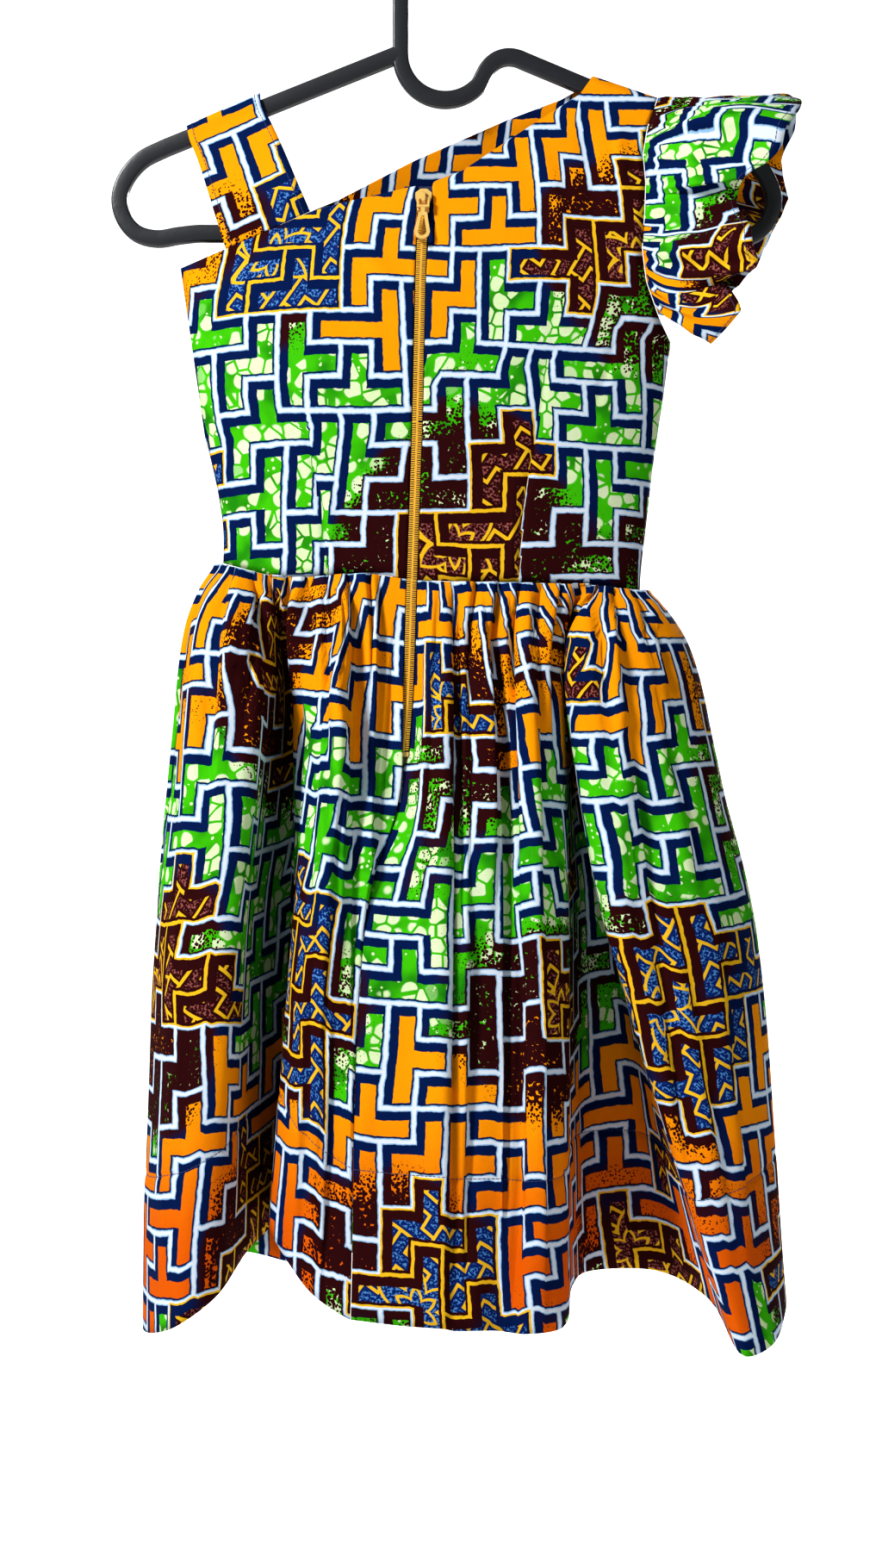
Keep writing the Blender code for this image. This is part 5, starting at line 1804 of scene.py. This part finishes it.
def build_hanger(black):
    """The hanger's two bars: the hook with the right arm and end, and the left arm, end and lower bar."""
    rod = (0.0, -ROD_SPACE)
    hook = [(BEND, -ROD_SPACE - HOOK_TIP_DROP), *reversed(arc(rod, BEND, 180, 0, 40)), (-BEND, -60.0)]
    dip = arc((0.0, NECK_FOOT - 1.0), BEND, 180, 318, 32)
    neck = [*hook, *dip[:-1], *smooth_path(HUMP, 4), (60.0, -98.8), (163.2, -142.0)]
    right_loop = [(2 * HANGER_MIDDLE - x, z) for x, z in [(-165.5, -143.6), (-177.2, -148.9), *LOOP[3:]]]
    right_nodes = ("hanger_hook", "hanger_dip", "hanger_arm_right", "hanger_end_right")
    left_nodes = ("hanger_arm_left", "hanger_end_left", "hanger_lower_bar")
    right_bar = bar("hanger_neck_and_right_end", [*neck, *smooth_path(right_loop, 5)], black, *right_nodes)
    left_loop = [*smooth_path(LOOP, 5), (150.0 + 2 * HANGER_MIDDLE, LOWER_BAR_Z)]
    left_bar = bar("hanger_left_end_and_lower_bar", [(-28.0, -89.6), *left_loop], black, *left_nodes)
    return [right_bar, left_bar]


# Camera, lights and floor

PHOTO_LENS = 40.4
FLOOR_Z = -1.06
FLOOR_FRONT = -5.0
FLOOR_HALF_WIDTH = 6.0
WALL_Y = 4.0
WALL_BEND = 0.6
WALL_HEIGHT = 5.0
PAPER = (0.93, 0.93, 0.93)
WHITE = (1.0, 1.0, 1.0)

# Strengths of the paper's and the sky's own light: on the dress, and as the camera sees them
PAPER_GLOW = (0.08, 0.85)
SKY_GLOW = (0.068, 0.95)

# Name, place and target in metres, size, watts
LIGHTS = (
    ("key", (-1.40, -1.30, 0.95), (0.0, 0.0, -0.45), 0.4, 62.0),
    ("fill", (1.3, -1.7, -0.1), (0.0, 0.0, -0.6), 0.9, 3.6),
    ("far side", (0.9, 1.9, 0.5), (0.0, 0.0, -0.5), 0.6, 34.0),
)


def build_camera():
    data = bpy.data.cameras.new("camera")
    data.sensor_fit = "VERTICAL"
    data.sensor_height = 36.0
    data.lens = PHOTO_LENS
    camera = add_object("camera", data)
    camera.location = (EYE_X * MM, -EYE_DISTANCE * MM, EYE_Z * MM)
    camera.rotation_euler = (math.radians(90), 0.0, 0.0)
    bpy.context.scene.camera = camera


def area_light(name, location, target, size, energy):
    data = bpy.data.lights.new(name, "AREA")
    data.size = size
    data.energy = energy
    light = add_object(name, data)
    light.location = location
    direction = Vector(target) - Vector(location)
    light.rotation_euler = direction.to_track_quat("-Z", "Y").to_euler()


def build_stage():
    """A pale floor that curves up into a pale backdrop, and the lights."""
    start = WALL_Y - WALL_BEND
    profile = [(FLOOR_FRONT, 0.0), (start, 0.0)]
    for step in range(1, 13):
        angle = math.pi / 24 * step
        profile.append((start + WALL_BEND * math.sin(angle), WALL_BEND - WALL_BEND * math.cos(angle)))
    profile.append((WALL_Y, WALL_HEIGHT))
    points = [(x, y, FLOOR_Z + z) for y, z in profile for x in (-FLOOR_HALF_WIDTH, FLOOR_HALF_WIDTH)]
    faces = [(2 * i, 2 * i + 1, 2 * i + 3, 2 * i + 2) for i in range(len(profile) - 1)]
    data = bpy.data.meshes.new("studio_floor")
    data.from_pydata(points, [], faces)
    data.shade_smooth()
    paper, graph, shader = new_material("studio paper")
    graph.fill(shader, {"Base Color": PAPER, "Roughness": 0.95})
    graph.fill(shader, {"Emission Color": WHITE, "Emission Strength": camera_only(graph, *PAPER_GLOW)})
    data.materials.append(paper)
    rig.stage(add_object("studio_floor", data))
    world = bpy.context.scene.world or bpy.data.worlds.new("studio")
    bpy.context.scene.world = world
    world.use_nodes = True
    graph = Graph(world.node_tree)
    sky = {"Color": WHITE, "Strength": camera_only(graph, *SKY_GLOW)}
    graph.fill(world.node_tree.nodes["Background"], sky)
    for light in LIGHTS:
        area_light(*light)
    bpy.context.scene.view_settings.view_transform = "Standard"
    bpy.context.scene.view_settings.look = "Medium High Contrast"


def camera_only(graph, lighting, seen_by_camera):
    """A strength that is low for the light it gives and higher where the camera looks at it."""
    from_camera = graph.output("ShaderNodeLightPath", "Is Camera Ray")
    return graph.blend(from_camera, lighting, seen_by_camera)


# Building


def build_bodice(thread, hanger):
    """The bodice's three panels and the strap; returns the panels' grids."""
    left_side = (WAIST[0], LEFT_SIDE_TOP)
    right_side = (WAIST[-1], *ARMHOLE)
    left_zip = zip_edge(-ZIP_OPENING, BACK_LEFT_TOP[-1])
    right_zip = zip_edge(ZIP_OPENING, BACK_RIGHT_TOP[0])
    left_waist = waist_between(WAIST[0][0], left_zip[0][0])
    right_waist = waist_between(right_zip[0][0], WAIST[-1][0])
    front_waist = waist_between(WAIST[0][0], WAIST[-1][0])
    back_left = panel(left_waist, BACK_LEFT_TOP, left_side, left_zip, 62, 56, -1, BACK_CREASES)
    back_right = panel(right_waist, BACK_RIGHT_TOP, right_zip, right_side, 84, 80, -1, BACK_CREASES)
    front = panel(front_waist, FRONT_TOP, left_side, right_side, 130, 80, 1, FRONT_CREASES)
    left_print = print_material("wax print, back left", 0.013, BODICE_PRINT_TOP)
    right_print = print_material("wax print, back right", 0.029, BODICE_PRINT_TOP)
    front_print = print_material("wax print, front", 0.051, BODICE_PRINT_TOP)
    cuts = (
        ("cloth_back_left", back_left, "back_bodice_left", (LEFT_DART,), left_print, 1),
        ("cloth_back_right", back_right, "back_bodice_right", (RIGHT_DART,), right_print, 1),
        ("cloth_front", front, "front_bodice", FRONT_DARTS, front_print, -1),
    )
    for name, grid, node, darts, material, side in cuts:
        coordinates = bodice_uv(grid, side, darts)
        piece = cloth_from_grid(name, grid, coordinates, material, node, flip=side < 0)
        declare_cloth(piece, coordinates, "printed_cotton_green", "hung", hanger)
    strap = strap_grid(14, 6)
    coordinates = strap_uv(strap)
    piece = cloth_from_grid("cloth_strap", strap, coordinates, left_print, "shoulder_strap")
    edges = (
        sewn_row("stitches_strap_left", strap, thread, column=1),
        sewn_row("stitches_strap_right", strap, thread, column=-2),
    )
    declare_cloth(piece, coordinates, "printed_cotton_orange", "draped", hanger, edges)
    return back_left, back_right, front


def build_ruffle(back_right, front, thread):
    """The gathered cap sleeve round the armhole, with its sewn edge."""
    sleeve_print = print_material("wax print, sleeve", 0.11, SLEEVE_PRINT_TOP)
    armhole_back = [line[-1] for line in back_right]
    armhole_front = [line[-1] for line in front]
    underarm = min(range(len(armhole_back)), key=lambda row: abs(armhole_back[row].z - ARMHOLE[0][1]))
    smooth, arounds = ruffle_grid(armhole_back[underarm:], armhole_front[underarm:], 9, 22)
    ruffle = ruffle_relief(smooth, arounds)
    coordinates = ruffle_uv(smooth)
    piece = cloth_from_grid("cloth_ruffle", ruffle, coordinates, sleeve_print, "sleeve_ruffle", flip=True)
    edge = sewn_row("stitches_ruffle", ruffle, thread, row=-2, flip=True)
    bodice = ["cloth_back_right", "cloth_front"]
    declare_cloth(piece, coordinates, "printed_cotton_orange", "gathered", bodice, [edge])


def build_skirt(thread):
    """The skirt's three gathered panels with their sewn hem; returns the panels' grids."""
    skirt_print = print_material("wax print, skirt", 0.0, SKIRT_PRINT_TOP)
    grids, hem_row = skirt_grids(3, 84)
    names = ("left", "right", "front")
    nodes = ("skirt_back_left", "skirt_back_right", "skirt_front")
    above = (["cloth_back_left"], ["cloth_back_right"], ["cloth_front"])
    start = 0.0
    for name, grid, node, upper in zip(names, grids, nodes, above):
        coordinates, start = skirt_uv(grid, start)
        piece = cloth_from_grid("cloth_skirt_" + name, grid, coordinates, skirt_print, node, flip=True)
        hem = sewn_row("stitches_hem_" + name, grid, thread, row=hem_row, flip=True)
        declare_cloth(piece, coordinates, "printed_cotton_orange", "gathered", upper, [hem])
    return grids


def build_zip(back_left, skirt_right):
    """The coil, and better finishes on the slider, pull, stop and tapes."""
    gold = plain_material("gilt zip", ZIP_GOLD, 0.26, 0.18, 700.0, 0.00006)
    tape = plain_material("zip tape", TAPE_NAVY, 0.9, 0.0, 1500.0, 0.0003, 0.2)
    for node in ("zip_slider", "zip_pull", "zip_stop", "zip_tape_left", "zip_tape_right"):
        frame["nodes"][node].data.materials.clear()
        frame["nodes"][node].data.materials.append(tape if "tape" in node else gold)
    slider_low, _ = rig.box("zip_slider")
    _, stop_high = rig.box("zip_stop")
    coil = plain_material("zip coil", COIL_GOLD, 0.38, 0.15)
    top = slider_low.z / MM - TOOTH_CLEAR
    bottom = stop_high.z / MM + TOOTH_CLEAR
    zip_chain(zip_places(back_left, skirt_right), top, bottom, coil)


def main():
    build_camera()
    build_stage()
    thread = plain_material("sewing thread", THREAD, 0.7)
    hanger = build_hanger(plain_material("hanger plastic", HANGER_BLACK, 0.36, 0.0, 400.0, 0.00015))
    back_left, back_right, front = build_bodice(thread, hanger)
    build_ruffle(back_right, front, thread)
    skirts = build_skirt(thread)
    build_zip(back_left, skirts[1])


main()
visual_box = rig.bounds()
boxes = {"cad": [list(corner) for corner in cad_box], "visual": [list(corner) for corner in visual_box]}
with open("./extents.json", "w") as out:
    json.dump(boxes, out)
